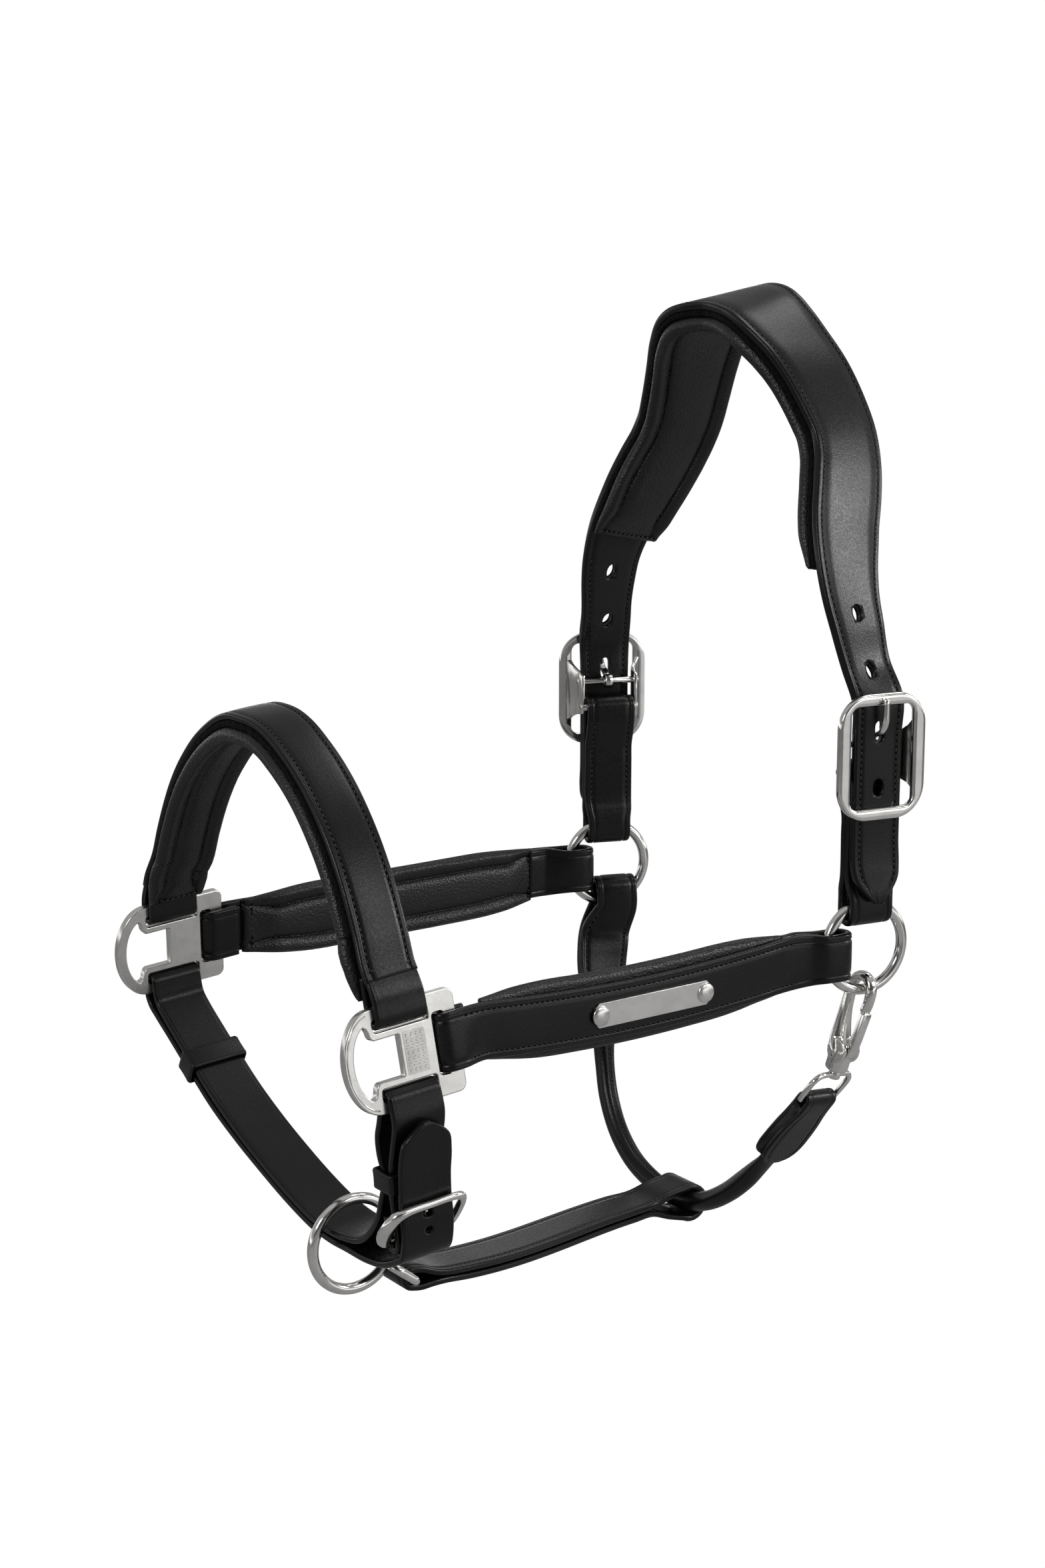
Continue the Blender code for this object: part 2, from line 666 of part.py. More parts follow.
def build_cheek_strap(side):
    plate = plate_frame(side)
    ring = ring_frame(side)
    run, length = cheek_frame(side)
    inner = (3.3 if side == NEAR else 3.9) + LEATHER / 2
    rows = []

    def add(frame, w, v, k, across, half):
        rows.append((frame.at(w, v, k), across, half, LEATHER))

    for w in (34.0, 30.5, 27.0):
        add(plate, w, -WRAP_RADIUS, 0, plate.k, STRAP_HALF)
    for t in arc(270, 90, 6):
        add(plate, REAR_WRAP_W + WRAP_RADIUS * math.cos(t), WRAP_RADIUS * math.sin(t), 0, plate.k, STRAP_HALF)
    add(plate, 27.0, WRAP_RADIUS, 0, plate.k, STRAP_HALF)
    add(plate, 31.5, 3.0, 0, plate.k, STRAP_HALF)
    for i in range(9):
        station = length * (i + 0.15) / 8.4
        add(run, station, 0, -sag(side, station / length), run.k, STRAP_HALF)
    add(ring, -29.5, 2.4, -2.5, Z_AXIS, 11.9)
    add(ring, -23.5, inner, -2.5, Z_AXIS, LOOP_HALF)
    for t in arc(90, -90, 6):
        add(ring, -14.6 + inner * math.cos(t), inner * math.sin(t), -2.5, Z_AXIS, LOOP_HALF)
    add(ring, -23.5, -inner, -2.5, Z_AXIS, LOOP_HALF)
    add(run, length + 0.5, -LEATHER - 1.0, 0, run.k, STRAP_HALF)
    add(run, length - 4.0, -LEATHER - GAP, 0, run.k, STRAP_HALF)
    add(run, length - 10.0, -LEATHER - GAP, 0, run.k, STRAP_HALF)
    name = f"{SIDES[side]}_cheek_strap"
    strap = ribbon(name, rows, "bridle_leather")
    if side == NEAR:
        build_nameplate(strap, run, length)
    build_cheek_pad(side, run, length)


def build_cheek_pad(side, run, length):
    """Cushion behind the cheek strap, narrowed and thinned toward both ends."""
    stations = [(1.2, 12.8, 3.4), (5.0, 13.6, 4.8), (11.0, 15.2, 6.2), (20.0, 16.6, CHEEK_PAD_THICKNESS)]
    stations += [(20.0 + (length - 50.0) * i / 6, 17.0, CHEEK_PAD_THICKNESS) for i in range(1, 6)]
    stations += [(length - 30.0, 16.6, CHEEK_PAD_THICKNESS), (length - 20.0, 15.0, 5.6), (length - 13.0, 13.2, 3.6)]
    rows = []
    for station, half, thick in stations:
        depth = LEATHER / 2 + GAP + thick / 2
        rows.append((run.at(station, -depth, -sag(side, station / length)), run.k, half, thick))
    ribbon(f"{SIDES[side]}_cheek_pad", rows, "nappa_leather", pad_section)


def build_nameplate(strap, run, length):
    """Engraving plate held by two domed rivets on the near cheek strap."""
    run = Frame(run.at(length * 0.53 - 3.0, 0, -sag(NEAR, 0.53)), run.w, run.v, run.k)
    surface = LEATHER / 2 + GAP
    half_l = NAMEPLATE[0] / 2
    half_h = NAMEPLATE[1] / 2
    notch = 1.8
    outline = [(half_l, -half_h + notch), (half_l, half_h - notch), (half_l - notch, half_h)]
    outline += [(-half_l + notch, half_h), (-half_l, half_h - notch), (-half_l, -half_h + notch)]
    outline += [(-half_l + notch, -half_h), (half_l - notch, -half_h)]
    plate = prism("nameplate", outline, run, surface, surface + NAMEPLATE[2], "brushed_steel")
    top = surface + NAMEPLATE[2] + GAP
    for sign, label in ((-1, "front"), (1, "rear")):
        w = sign * RIVET_SPACING / 2
        for body in (plate, strap):
            punch = rod("punch", run.at(w, -9, 0), run.at(w, 9, 0), RIVET_SHANK + GAP, count=10)
            combine(body, [punch], "DIFFERENCE")
        build_rivet(f"nameplate_rivet_{label}", run, w, top)


def build_rivet(name, run, w, top):
    profile = [(-LEATHER / 2, RIVET_SHANK), (top, RIVET_SHANK), (top, RIVET_RADIUS)]
    profile += [(top + RIVET_HEIGHT * math.sin(t), RIVET_RADIUS * math.cos(t)) for t in arc(18, 78, 4)]
    rings = []
    for v, radius in profile:
        angles = [2 * math.pi * i / 14 for i in range(14)]
        rings.append([run.at(w + radius * math.cos(t), v, radius * math.sin(t)) for t in angles])
    verts, faces = loft(rings)
    add_object(name, verts, faces, "polished_nickel")


# ---------------------------------------------------------------- chin strap and its buckle

def chin_frame():
    """Plane of the chin strap: w across the strap, v the far side, k up along the strap's lean."""
    plate = plate_frame(FAR)
    up = np.cross(plate.w, Y_AXIS)
    origin = plate.at(STRAP_OFFSET, 0, -19.5)
    origin[1] = 0
    drop = (-origin[2]) / up[2]
    return Frame(origin + up * drop, plate.w, Y_AXIS, up)


def chin_point(plane, y, z):
    """World point of the chin strap's midline from its side offset and its height."""
    return plane.at(0, y, z / plane.k[2])


CHIN_UPPER = [
    (-98.2, -312), (-95.6, -319), (-95.8, -327), (-98.0, -334), (-97.2, -340), (-93.8, -348), (-89.6, -357),
    (-82.0, -366), (-72.0, -373), (-58.0, -376.2), (-46.0, -377.0), (-32.0, -375.6), (-12.0, -370.4), (10.0, -362.6),
    (32.0, -353.4), (52.0, -343.2), (68.0, -333.0), (84.0, -322.2), (94.0, -315.0), (99.6, -309.6),
]
CHIN_LOWER = [
    (109.6, -307.5), (107.4, -312.5), (101.6, -316.8), (90.0, -324.4), (70.4, -337.6), (54.0, -348.0), (33.4, -357.8),
    (11.4, -366.4), (-11.0, -374.2), (-32.0, -379.6), (-46.0, -381.0), (-60.0, -380.6), (-76.0, -380.2),
    (-90.0, -377.8), (-101.4, -372.8), (-106.4, -369.6), (-108.9, -363.6), (-110.2, -355.0), (-110.0, -346.5), (-111.0, -336.0),
    (-113.2, -325.0), (-114.8, -317.0), (-115.4, -312.6), (-115.7, -309.8),
]
CHIN_BILLET_HALF = {-325.0: 12.5, -317.0: 11.0, -312.6: 6.4, -309.8: 1.8}
CHIN_BUCKLE_LAYER = [
    (-110.4, -308.5), (-109.8, -313.0), (-107.4, -320.5), (-104.2, -331.0), (-102.9, -340.0), (-103.4, -350.0),
]


def plate_wrap_rows(side, start, end):
    plate = plate_frame(side)
    rows = []
    for t in arc(start, end, 6):
        v = WRAP_RADIUS * math.cos(t)
        k = -BAR_WRAP_K + WRAP_RADIUS * math.sin(t)
        rows.append((plate.at(STRAP_OFFSET, v, k), plate.w, STRAP_HALF, CHIN_LEATHER))
    return rows


def build_chin_strap():
    plane = chin_frame()

    def row(y, z, half=STRAP_HALF):
        return (chin_point(plane, y, z), plane.w, half, CHIN_LEATHER)

    bar_y, bar_z = CHIN_BAR
    reach = CHIN_BAR_RADIUS + GAP + CHIN_LEATHER / 2
    rows = [row(bar_y + reach - 0.3, bar_z + 10.0), row(bar_y + reach, bar_z + 4.5)]
    for t in arc(0, -180, 6):
        rows.append(row(bar_y + reach * math.cos(t), bar_z + reach * math.sin(t)))
    rows += [row(y, z) for y, z in CHIN_BUCKLE_LAYER[::-1]]
    rows += plate_wrap_rows(NEAR, 0, 180)
    rows += smooth_rows([row(y, z) for y, z in CHIN_UPPER], 2)
    rows += plate_wrap_rows(FAR, 180, 0)
    tail = [row(y, z, CHIN_BILLET_HALF.get(z, STRAP_HALF)) for y, z in CHIN_LOWER]
    rows += smooth_rows(tail, 2)
    strap = ribbon("chin_strap", rows, "bridle_leather", edge=0.6)
    slot = rounded_rectangle(4.6, 12.0, 1.8, 2)
    centre = chin_point(plane, -110.0, -358.6)
    cutters = [rod("punch", centre - Y_AXIS * 3.2, centre + Y_AXIS * 3.2, 1.9, count=12)]
    tip = Frame(chin_point(plane, -110.1, -350.2), plane.w, -Y_AXIS, plane.k)
    cutters.append(prism("slot", [(w, k * 0.42) for w, k in slot], tip, -2.6, 2.6))
    bar = Frame(chin_point(plane, bar_y, bar_z), plane.w, -Y_AXIS, plane.k)
    cutters.append(prism("slot", rounded_rectangle(4.8, 12.6, 1.8, 2), bar, -7.0, 6.4))
    combine(strap, cutters, "DIFFERENCE")


def chin_buckle_frame():
    """Frame of the chin buckle: w along its bars, k from the hidden bar to the front bar."""
    plane = chin_frame()
    rear = chin_point(plane, *CHIN_BAR)
    front = chin_point(plane, *CHIN_FRONT_BAR)
    k = unit(front - rear)
    return Frame(rear, plane.w, np.cross(k, plane.w), k), np.linalg.norm(front - rear)


def build_chin_buckle():
    """Swelled oval frame: thin bars, a fat rounded end toward the nose."""
    frame, span = chin_buckle_frame()
    outline = []
    radii = []
    for w in (-12.5, 0.0, 12.5):
        outline.append((w, 0.0))
        radii.append(CHIN_BAR_RADIUS)
    for w, k, r in ((15.3, 1.4, 2.0), (16.6, 5.0, 1.9), (16.8, span - 5, 1.9), (15.4, span - 1.3, 1.9)):
        outline.append((w, k))
        radii.append(r)
    for w in (12.5, 0.0, -11.0):
        outline.append((w, span))
        radii.append(1.8)
    for w, k, r in ((-15.2, span - 1.6, 2.2), (-17.2, span - 5.5, 2.9), (-18.0, span / 2, 3.6),
                    (-17.6, 5.5, 3.2), (-15.8, 1.4, 2.3)):
        outline.append((w, k))
        radii.append(r)
    points = [frame.at(w, 0, k) for w, k in outline]
    closed_tube("chin_buckle_frame", points, radii, "polished_nickel", frame.v, 8, frame.origin)
    build_chin_tongue(frame, span)


def build_chin_tongue(frame, span):
    plane = chin_frame()
    eye = rod("chin_buckle_tongue", frame.at(-1.8, 0, 0), frame.at(1.8, 0, 0), CHIN_BAR_RADIUS + GAP + 1.3,
              origin=frame.origin)
    path = [(-103.4, -362.6), (-106.2, -360.0), (-106.8, -355.0), (-107.6, -351.6), (-110.6, -350.2)]
    points = [chin_point(plane, y, z) for y, z in path]
    blade = tube("blade", points, [1.5, 1.5, 1.4, 1.3, 1.1], "polished_nickel", plane.w, 8,
                 flatten=[0.9, 0.9, 0.85, 0.85, 0.8])
    combine(eye, [blade], "UNION")
    bore = rod("bore", frame.at(-5, 0, 0), frame.at(5, 0, 0), CHIN_BAR_RADIUS + GAP)
    combine(eye, [bore], "DIFFERENCE")


def build_keeper(name, plane, centre, along, half_depth, height):
    """A leather keeper: a rectangular band closed round the strap's layers."""
    along = unit(along)
    through = unit(np.cross(along, plane.w))
    band = Frame(centre, plane.w, along, through)
    outer = rounded_rectangle(2 * (STRAP_HALF + 2.4), 2 * (half_depth + 1.9), 1.8, 2)
    inner = rounded_rectangle(2 * (STRAP_HALF + 0.6), 2 * half_depth, 0.5, 2)
    body = prism(name, outer, band, -height / 2, height / 2, "bridle_leather", centre)
    hole = prism("hole", inner, band, -height, height)
    combine(body, [hole], "DIFFERENCE")


def build_keepers():
    plane = chin_frame()
    far_a = chin_point(plane, 68.0, -333.0)
    far_b = chin_point(plane, 84.0, -322.2)
    far_c = chin_point(plane, 70.4, -337.6)
    along = unit(far_b - far_a)
    across = far_c - far_a
    across = across - along * np.dot(across, along)
    build_keeper("far_chin_keeper", plane, far_a + across / 2 + along * 3, along, 4.8, 11.0)
    build_keeper("near_chin_keeper", plane, chin_point(plane, -100.2, -336.8), plane.k, 5.9, 9.0)


# ---------------------------------------------------------------- chin ring link and jowl strap

def radial(angle):
    t = math.radians(angle)
    return vec(math.cos(t), 0, math.sin(t))


def build_square_loop():
    """Rectangular wire link hooked on the chin ring, carrying the jowl strap."""
    out = radial(LOOP_ANGLE)
    centre = vec(*CHIN_RING)
    frame = Frame(centre, Y_AXIS, np.cross(out, Y_AXIS), out)
    half = LOOP_HALF_LENGTH
    mid = (LOOP_FRONT_RADIUS + LOOP_REAR_RADIUS) / 2
    depth = LOOP_REAR_RADIUS - LOOP_FRONT_RADIUS
    outline = [(w, k + mid) for w, k in rounded_rectangle(2 * half, depth, 3.0, 3)]
    points = [frame.at(w, 0, k) for w, k in outline]
    closed_tube("square_loop", points, LOOP_WIRE, "polished_nickel", frame.v, 8, centre)


def loop_bar():
    return vec(*CHIN_RING) + radial(LOOP_ANGLE) * LOOP_REAR_RADIUS


def build_jowl_strap():
    """Doubled strap folded round the link's rear bar in front and the throat roll behind."""
    front = loop_bar()
    rear = vec(*SLEEVE_CENTRE)
    along = unit(vec(rear[0] - front[0], 0, rear[2] - front[2]))
    length = np.linalg.norm(vec(rear[0] - front[0], 0, rear[2] - front[2]))
    up = np.cross(along, -Y_AXIS)
    up = up if up[2] > 0 else -up
    wrap = LOOP_WIRE + GAP + LEATHER / 2

    def place(distance, height):
        share = min(max((distance - 12) / (length - 34), 0), 1)
        share = share * share * (3 - 2 * share)
        base = front + along * distance + Y_AXIS * (rear[1] - front[1]) * share
        sag = -3.2 * math.sin(math.pi * min(max(distance / length, 0), 1))
        return base + up * (height + sag)

    def half(distance):
        if distance > length - 30:
            return 11.2
        return 12.0

    split = 34.0
    path = [(split - 1.5, -1.85)]
    path += [(18, -1.85), (11, -2.6), (5, -wrap)]
    path += [(wrap * math.cos(t), wrap * math.sin(t)) for t in arc(270, 90, 6)]
    path += [(5, wrap), (11, 2.6), (18, 1.85)]
    path += [(18 + (length - 58) * i / 6, 1.85) for i in range(1, 7)]
    path += [(length - 24, 2.2), (length - 13, 5.2)]
    path += [(length + SLEEVE_MID * math.cos(t), SLEEVE_MID * math.sin(t)) for t in arc(115, -115, 12)]
    path += [(length - 13, -5.2), (length - 24, -2.2)]
    path += [(length - 40 - (length - 58) * i / 6, -1.85) for i in range(0, 6)]
    path += [(split + 1.5, -1.85)]
    rows = [(place(d, h), Y_AXIS, half(d), LEATHER - 0.2) for d, h in path]
    ribbon("jowl_strap", rows, "bridle_leather", edge=0.7, origin=front)


# ---------------------------------------------------------------- throat strap, tab and snap

THROAT_PATH = [
    (-5.0, 98.6, -316.0, 13.0, 3.6), (-8.6, 95.6, -326.0, 13.2, 3.6), (-11.8, 91.6, -336.0, 12.8, 3.6),
    (-14.4, 87.2, -347.0, 11.2, 4.0), (-15.8, 84.6, -356.0, 8.8, 4.5), (-17.2, 82.2, -365.0, 6.4, 4.9),
    (-19.4, 78.0, -379.0, 5.0, 5.0),
    (-21.8, 71.0, -395.0, 5.0, 5.0), (-23.8, 60.0, -409.5, 5.0, 5.0), (-25.2, 45.0, -420.5, 5.0, 5.0),
    (-25.8, 28.0, -426.6, 5.0, 5.0), (-26.0, 15.0, -428.4, 5.0, 5.0), (-26.0, 5.0, -428.5, 5.0, 5.0),
    (-26.0, -5.0, -427.2, 5.0, 5.0), (-25.6, -18.0, -422.6, 5.0, 5.0), (-24.4, -31.0, -414.6, 5.0, 5.0),
    (-22.8, -42.5, -404.6, 5.0, 4.9), (-21.6, -49.6, -397.2, 5.6, 3.9), (-20.6, -56.0, -390.4, 6.6, 2.6),
    (-19.4, -61.6, -383.5, 7.6, 2.3), (-18.4, -67.0, -376.0, 8.0, 2.2), (-17.2, -72.6, -368.2, 8.2, 2.0),
]
TAB_LOW = vec(-20.4, -57.6, -389.0)
TAB_HIGH = vec(-14.2, -82.4, -354.6)
TAB_FOLD_HALF = 9.6


def tab_frame():
    """Frame of the tab: origin on the eye's lower bar, w across, v outward, k up toward the eye."""
    k = unit(TAB_HIGH - TAB_LOW)
    w = unit(X_AXIS - k * np.dot(X_AXIS, k))
    v = np.cross(w, k)
    v = v if v[1] < 0 else -v
    return Frame(TAB_HIGH, w, v, k)


def build_throat_strap():
    ring = ring_frame(FAR)
    rows = []
    inner = 3.9 + LEATHER / 2
    shift = 4.0
    path = [(-inner * 0.62, -34.0, 12.4), (-inner, -24.0, 10.8)]
    path += [(inner * math.cos(t), -14.4 + inner * math.sin(t), 10.7) for t in arc(180, 0, 6)]
    path += [(inner, -24.0, 10.8), (inner * 0.62, -34.0, 12.4)]
    for v, k, half in path:
        rows.append((ring.at(shift - 1.6 * (half - 10.7), v, k), ring.w, half, LEATHER))
    strap = ribbon("throat_strap", rows, "bridle_leather")
    points = [vec(x, y, z) for x, y, z, _, _ in THROAT_PATH]
    start = (ring.at(shift - 2.2, 0, -31.0), ring.w, 11.8, 3.9)
    wide = [start[2]] + [row[3] for row in THROAT_PATH]
    thin = [start[3]] + [row[4] for row in THROAT_PATH]
    roll_rows = [(p, X_AXIS, a, b) for p, a, b in zip([start[0]] + points, wide, thin)]
    roll_rows = smooth_rows(roll_rows, 2)
    body = tube("roll", [r[0] for r in roll_rows], [r[2] for r in roll_rows], "bridle_leather", X_AXIS, 12,
                flatten=[r[3] for r in roll_rows])
    combine(strap, [body], "UNION")


def build_throat_tab():
    frame = tab_frame()
    length = np.linalg.norm(TAB_HIGH - TAB_LOW)
    reach = EYE_WIRE + GAP + 1.4
    halves = ((-length, 4.0), (-length + 1.6, 7.6), (-length + 5, 10.6), (-length + 11, 12.3), (-20, 12.1), (-11, 10.4))
    rows = []
    for k, half in halves:
        rows.append((frame.at(0, -4.4, k), frame.w, half, 2.8))
    rows.append((frame.at(0, -3.8, -6), frame.w, TAB_FOLD_HALF, 2.8))
    for t in arc(180, 0, 6):
        rows.append((frame.at(0, reach * math.cos(t), reach * math.sin(t)), frame.w, TAB_FOLD_HALF, 2.8))
    rows.append((frame.at(0, 3.8, -6), frame.w, TAB_FOLD_HALF, 2.8))
    for k, half in halves[::-1]:
        rows.append((frame.at(0, 4.4, k), frame.w, half, 2.8))
    ribbon("throat_tab", rows, "bridle_leather", edge=0.7)


def build_snap():
    """Swivel eye, hook body, sprung gate and its pin, clipped on the near ring."""
    tab = tab_frame()
    ring = ring_frame(NEAR)
    wire = ring.at(0, 0, -RING_RADIUS)
    swivel = vec(-10.5, -92.0, -336.5)
    up = unit(wire + vec(0, 0, 4) - swivel)
    width = unit(X_AXIS - up * np.dot(X_AXIS, up))
    out = np.cross(width, up)
    out = out if out[1] < 0 else -out
    hook = Frame(swivel, width, out, up)
    build_snap_eye(tab, hook)
    build_snap_body(hook, wire)
    build_snap_gate(hook)


def build_snap_eye(tab, hook):
    half = TAB_FOLD_HALF + 0.6 + EYE_WIRE
    top = hook.at(0, 0, -4.6)
    points = [tab.at(-half + 2, 0, 0), tab.at(0, 0, 0), tab.at(half - 2, 0, 0), tab.at(half - 0.5, 0, 0.6)]
    lift = 13.4
    points += [tab.at(half, 0, 3), tab.at(half, 0, lift), top + tab.w * (half - 2.5) + hook.k * -0.6]
    points += [top + tab.w * 5, top, top - tab.w * 5, top - tab.w * (half - 2.5) + hook.k * -0.6]
    points += [tab.at(-half, 0, lift), tab.at(-half, 0, 3), tab.at(-half + 0.5, 0, 0.6)]
    eye = closed_tube("snap_eye", points, EYE_WIRE, "polished_nickel", unit(tab.v + hook.v), 8)
    stem = rod("stem", hook.at(0, 0, -6.2), hook.at(0, 0, 2.2), 1.7, count=12)
    head = rod("head", hook.at(0, 0, 1.0), hook.at(0, 0, 2.6), 3.0, count=12)
    combine(eye, [stem, head], "UNION")


def build_snap_body(hook, wire):
    local = wire - hook.origin
    wv = float(np.dot(local, hook.v))
    wk = float(np.dot(local, hook.k))
    arch = RING_WIRE + 1.0 + 2.7
    path = [(-0.6, 5.5, 3.8, 5.8), (-2.4, 10.0, 3.4, 6.2), (-3.6, 15.0, 3.0, 5.4), (-4.4, 21.0, 2.7, 4.0),
            (-5.2, 28.0, 2.6, 3.1)]
    for t in arc(172, 8, 8):
        path.append((wv + arch * math.cos(t), wk + arch * math.sin(t), 2.5, 2.8))
    path.append((wv + arch + 0.4, wk - 4.5, 2.2, 2.8))
    path.append((wv + arch - 0.2, wk - 8.5, 1.9, 2.5))
    points = [hook.at(0, v, k) for v, k, _, _ in path]
    body = tube("snap_body", points, [p[3] for p in path], "polished_nickel", hook.w, 10, hook.origin,
                flatten=[p[2] for p in path])
    barrel = rod("barrel", hook.at(0, 0, -2.4), hook.at(0, 0, 7.5), 5.4, count=16)
    cheeks = []
    for sign in (-1, 1):
        outline = [(-3.5, 3.0), (6.4, 3.0), (7.4, 7.0), (6.0, 11.5), (1.0, 14.0), (-4.5, 14.0)]
        low = sign * 3.1
        high = sign * 5.2
        rings = [[hook.at(w, v, k) for v, k in outline] for w in (low, high)]
        verts, faces = loft(rings)
        cheeks.append(add_object("cheek", verts, faces, "polished_nickel"))
    combine(body, [barrel] + cheeks, "UNION")
    bore = rod("bore", hook.at(0, 0, -9), hook.at(0, 0, 3.6), 2.1, count=16)
    room = rod("room", hook.at(0, 0, 0.4), hook.at(0, 0, 3.4), 3.5, count=16)
    gate_room = [[hook.at(w, v, k) for v, k in ((0.4, 4.4), (9.0, 4.4), (9.0, 16.0), (0.4, 16.0))] for w in (-2.7, 2.7)]
    verts, faces = loft(gate_room)
    room_box = add_object("gate_room", verts, faces, "polished_nickel")
    pin = rod("drill", hook.at(-8, 4.6, 8.0), hook.at(8, 4.6, 8.0), 1.0 + GAP)
    combine(body, [bore, room, room_box, pin], "DIFFERENCE")
    rod("snap_gate_pin", hook.at(-5.2, 4.6, 8.0), hook.at(5.2, 4.6, 8.0), 1.0, origin=hook.at(0, 4.6, 8.0))


def build_snap_gate(hook):
    pivot = hook.at(0, 4.6, 8.0)
    outline = [(2.9, 6.2), (5.4, 5.6), (7.6, 8.0), (8.6, 15.0), (9.3, 27.6), (7.2, 27.8), (6.4, 16.0), (4.0, 11.0)]
    rings = [[hook.at(w, v, k) for v, k in outline] for w in (-2.3, 2.3)]
    verts, faces = loft(rings)
    gate = add_object("snap_gate", verts, faces, "polished_nickel", pivot)
    drill = rod("drill", hook.at(-6, 4.6, 8.0), hook.at(6, 4.6, 8.0), 1.0 + GAP)
    combine(gate, [drill], "DIFFERENCE")


# ---------------------------------------------------------------- the whole headcollar

def main():
    for old in list(bpy.data.objects):
        bpy.data.objects.remove(old)
    build_headpiece()
    for side in SIDES:
        build_cheekpiece(side)
        build_buckle(side)
        build_ring(f"{SIDES[side]}_cheek_ring", ring_frame(side))
        build_plate(side)
        build_cheek_strap(side)
    build_noseband()
    build_chin_strap()
    build_chin_buckle()
    build_keepers()
    build_ring("chin_ring", Frame(CHIN_RING, X_AXIS, Y_AXIS, Z_AXIS))
    build_square_loop()
    build_jowl_strap()
    build_throat_strap()
    build_throat_tab()
    build_snap()


main()
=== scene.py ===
"""Looks for the padded leather headcollar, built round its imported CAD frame.

Lengths of the headcollar are millimetres in the frame's own axes: +X to the back of the head, -Y near,
+Z up. MM turns them into metres as each mesh is made. The camera, lights and floor are placed in metres.
"""
import math

import bmesh
import bpy
import numpy as np
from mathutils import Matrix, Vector, kdtree


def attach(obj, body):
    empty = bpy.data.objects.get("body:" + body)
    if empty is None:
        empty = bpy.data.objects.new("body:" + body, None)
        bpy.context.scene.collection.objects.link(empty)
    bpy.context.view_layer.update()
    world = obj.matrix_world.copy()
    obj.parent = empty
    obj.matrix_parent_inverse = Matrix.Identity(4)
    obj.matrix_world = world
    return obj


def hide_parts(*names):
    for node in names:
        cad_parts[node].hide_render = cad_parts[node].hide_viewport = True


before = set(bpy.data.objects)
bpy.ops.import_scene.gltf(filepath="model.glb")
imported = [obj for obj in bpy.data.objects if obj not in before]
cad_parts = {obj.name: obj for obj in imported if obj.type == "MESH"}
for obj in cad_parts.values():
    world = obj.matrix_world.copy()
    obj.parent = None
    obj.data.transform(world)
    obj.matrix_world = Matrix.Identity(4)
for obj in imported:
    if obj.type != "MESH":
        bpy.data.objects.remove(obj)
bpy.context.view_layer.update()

MM = 0.001
NEAR, FAR = -1, 1
SIDES = {NEAR: "near", FAR: "far"}

# sizes shared with the CAD solids
GAP = 0.35
STRAP_HALF = 12.5
LEATHER = 3.2
LOOP_HALF = 11.2
RING_RADIUS = 20.5
RING_WIRE = 2.5
RING_CENTRE = (-3.0, 100.0, -278.5)
RING_YAW = {NEAR: 8.0, FAR: 18.0}
CHIN_RING = (-245.5, -46.0, -386.5)
HEAD_THICKNESS = 4.0
FELT = 2.2
HEAD_PAD = 6.6
PAD_GAP = 1.0
HEAD_PAD_END = -106.0
PIN_V, PIN_HEIGHT = -0.2, 95.5
BAR_V, BAR_HEIGHT = -2.2, 82.5
FRAME_HEIGHT = 90.5
HOLE_HEIGHTS = (153.5, 128.0, 76.0)
PLATE_CENTRE = (-255.5, 102.5, -284.0)
PLATE_LEAN, PLATE_PITCH = 8.0, 5.0
STRAP_OFFSET = 1.0
WRAP = 3.9
BAR_WRAP_K = 17.8
REAR_WRAP_W = 22.2
NOSE_PAD, CHEEK_PAD = 7.0, 7.0
CHEEK_SAG = {NEAR: 4.0, FAR: 0.6}
CHIN_LEATHER = 3.0
CHIN_BAR = (-100.6, -364.0)
CHIN_FRONT_BAR = (-113.8, -346.5)
LOOP_ANGLE, LOOP_FRONT, LOOP_REAR, LOOP_HALF_LENGTH = -38.0, 15.4, 29.4, 15.5
SLEEVE_CENTRE = (-26.0, 6.0, -428.5)
EYE_WIRE = 1.4
BAR_RADIUS = 2.0
PIN_RADIUS = 1.6
TAB_LEATHER = 2.3
CHEEK_DROP = -2.5

# sizes of the visual details
PITCH = 2.8
STITCH_INSET = 3.2
STITCH_SLANT = 9.0
HOLE_HALF = (3.05, 4.2)
PAD_SINK = 0.6
PAD_GROW = 0.6
PAD_ROLL = 3.5
PUFF_LIMIT = 0.35
PUFF_VOXEL = 0.0042
PUFF_PRESSURE = 4.0
PUFF_FRAMES = 20
PUFF_MOST = 3.0


# ---------------------------------------------------------------- vectors and local frames

def vec(*values):
    return np.array(values, dtype=float)


def unit(v):
    v = np.asarray(v, dtype=float)
    return v / max(np.linalg.norm(v), 1e-12)


X_AXIS, Y_AXIS, Z_AXIS = vec(1, 0, 0), vec(0, 1, 0), vec(0, 0, 1)


class Frame:
    """w runs across a strap or along a plate, v outward, k up."""

    def __init__(self, origin, w, v, k):
        self.origin, self.w, self.v, self.k = vec(*origin), unit(w), unit(v), unit(k)

    def at(self, w, v, k):
        return self.origin + self.w * w + self.v * v + self.k * k


def ring_frame(side):
    yaw = math.radians(RING_YAW[side])
    x, y, z = RING_CENTRE
    w = vec(math.cos(yaw), -math.sin(yaw), 0)
    return Frame((x, side * y, z), w, side * vec(math.sin(yaw), math.cos(yaw), 0), Z_AXIS)


def plate_frame(side):
    pitch, lean = math.radians(PLATE_PITCH), math.radians(PLATE_LEAN)
    up = vec(-math.sin(pitch), 0, math.cos(pitch))
    k = up * math.cos(lean) - side * Y_AXIS * math.sin(lean)
    v = side * Y_AXIS * math.cos(lean) + up * math.sin(lean)
    x, y, z = PLATE_CENTRE
    return Frame((x, side * y, z), vec(math.cos(pitch), 0, math.sin(pitch)), v, k)


def arc(start, end, steps):
    return [math.radians(start + (end - start) * i / steps) for i in range(steps + 1)]


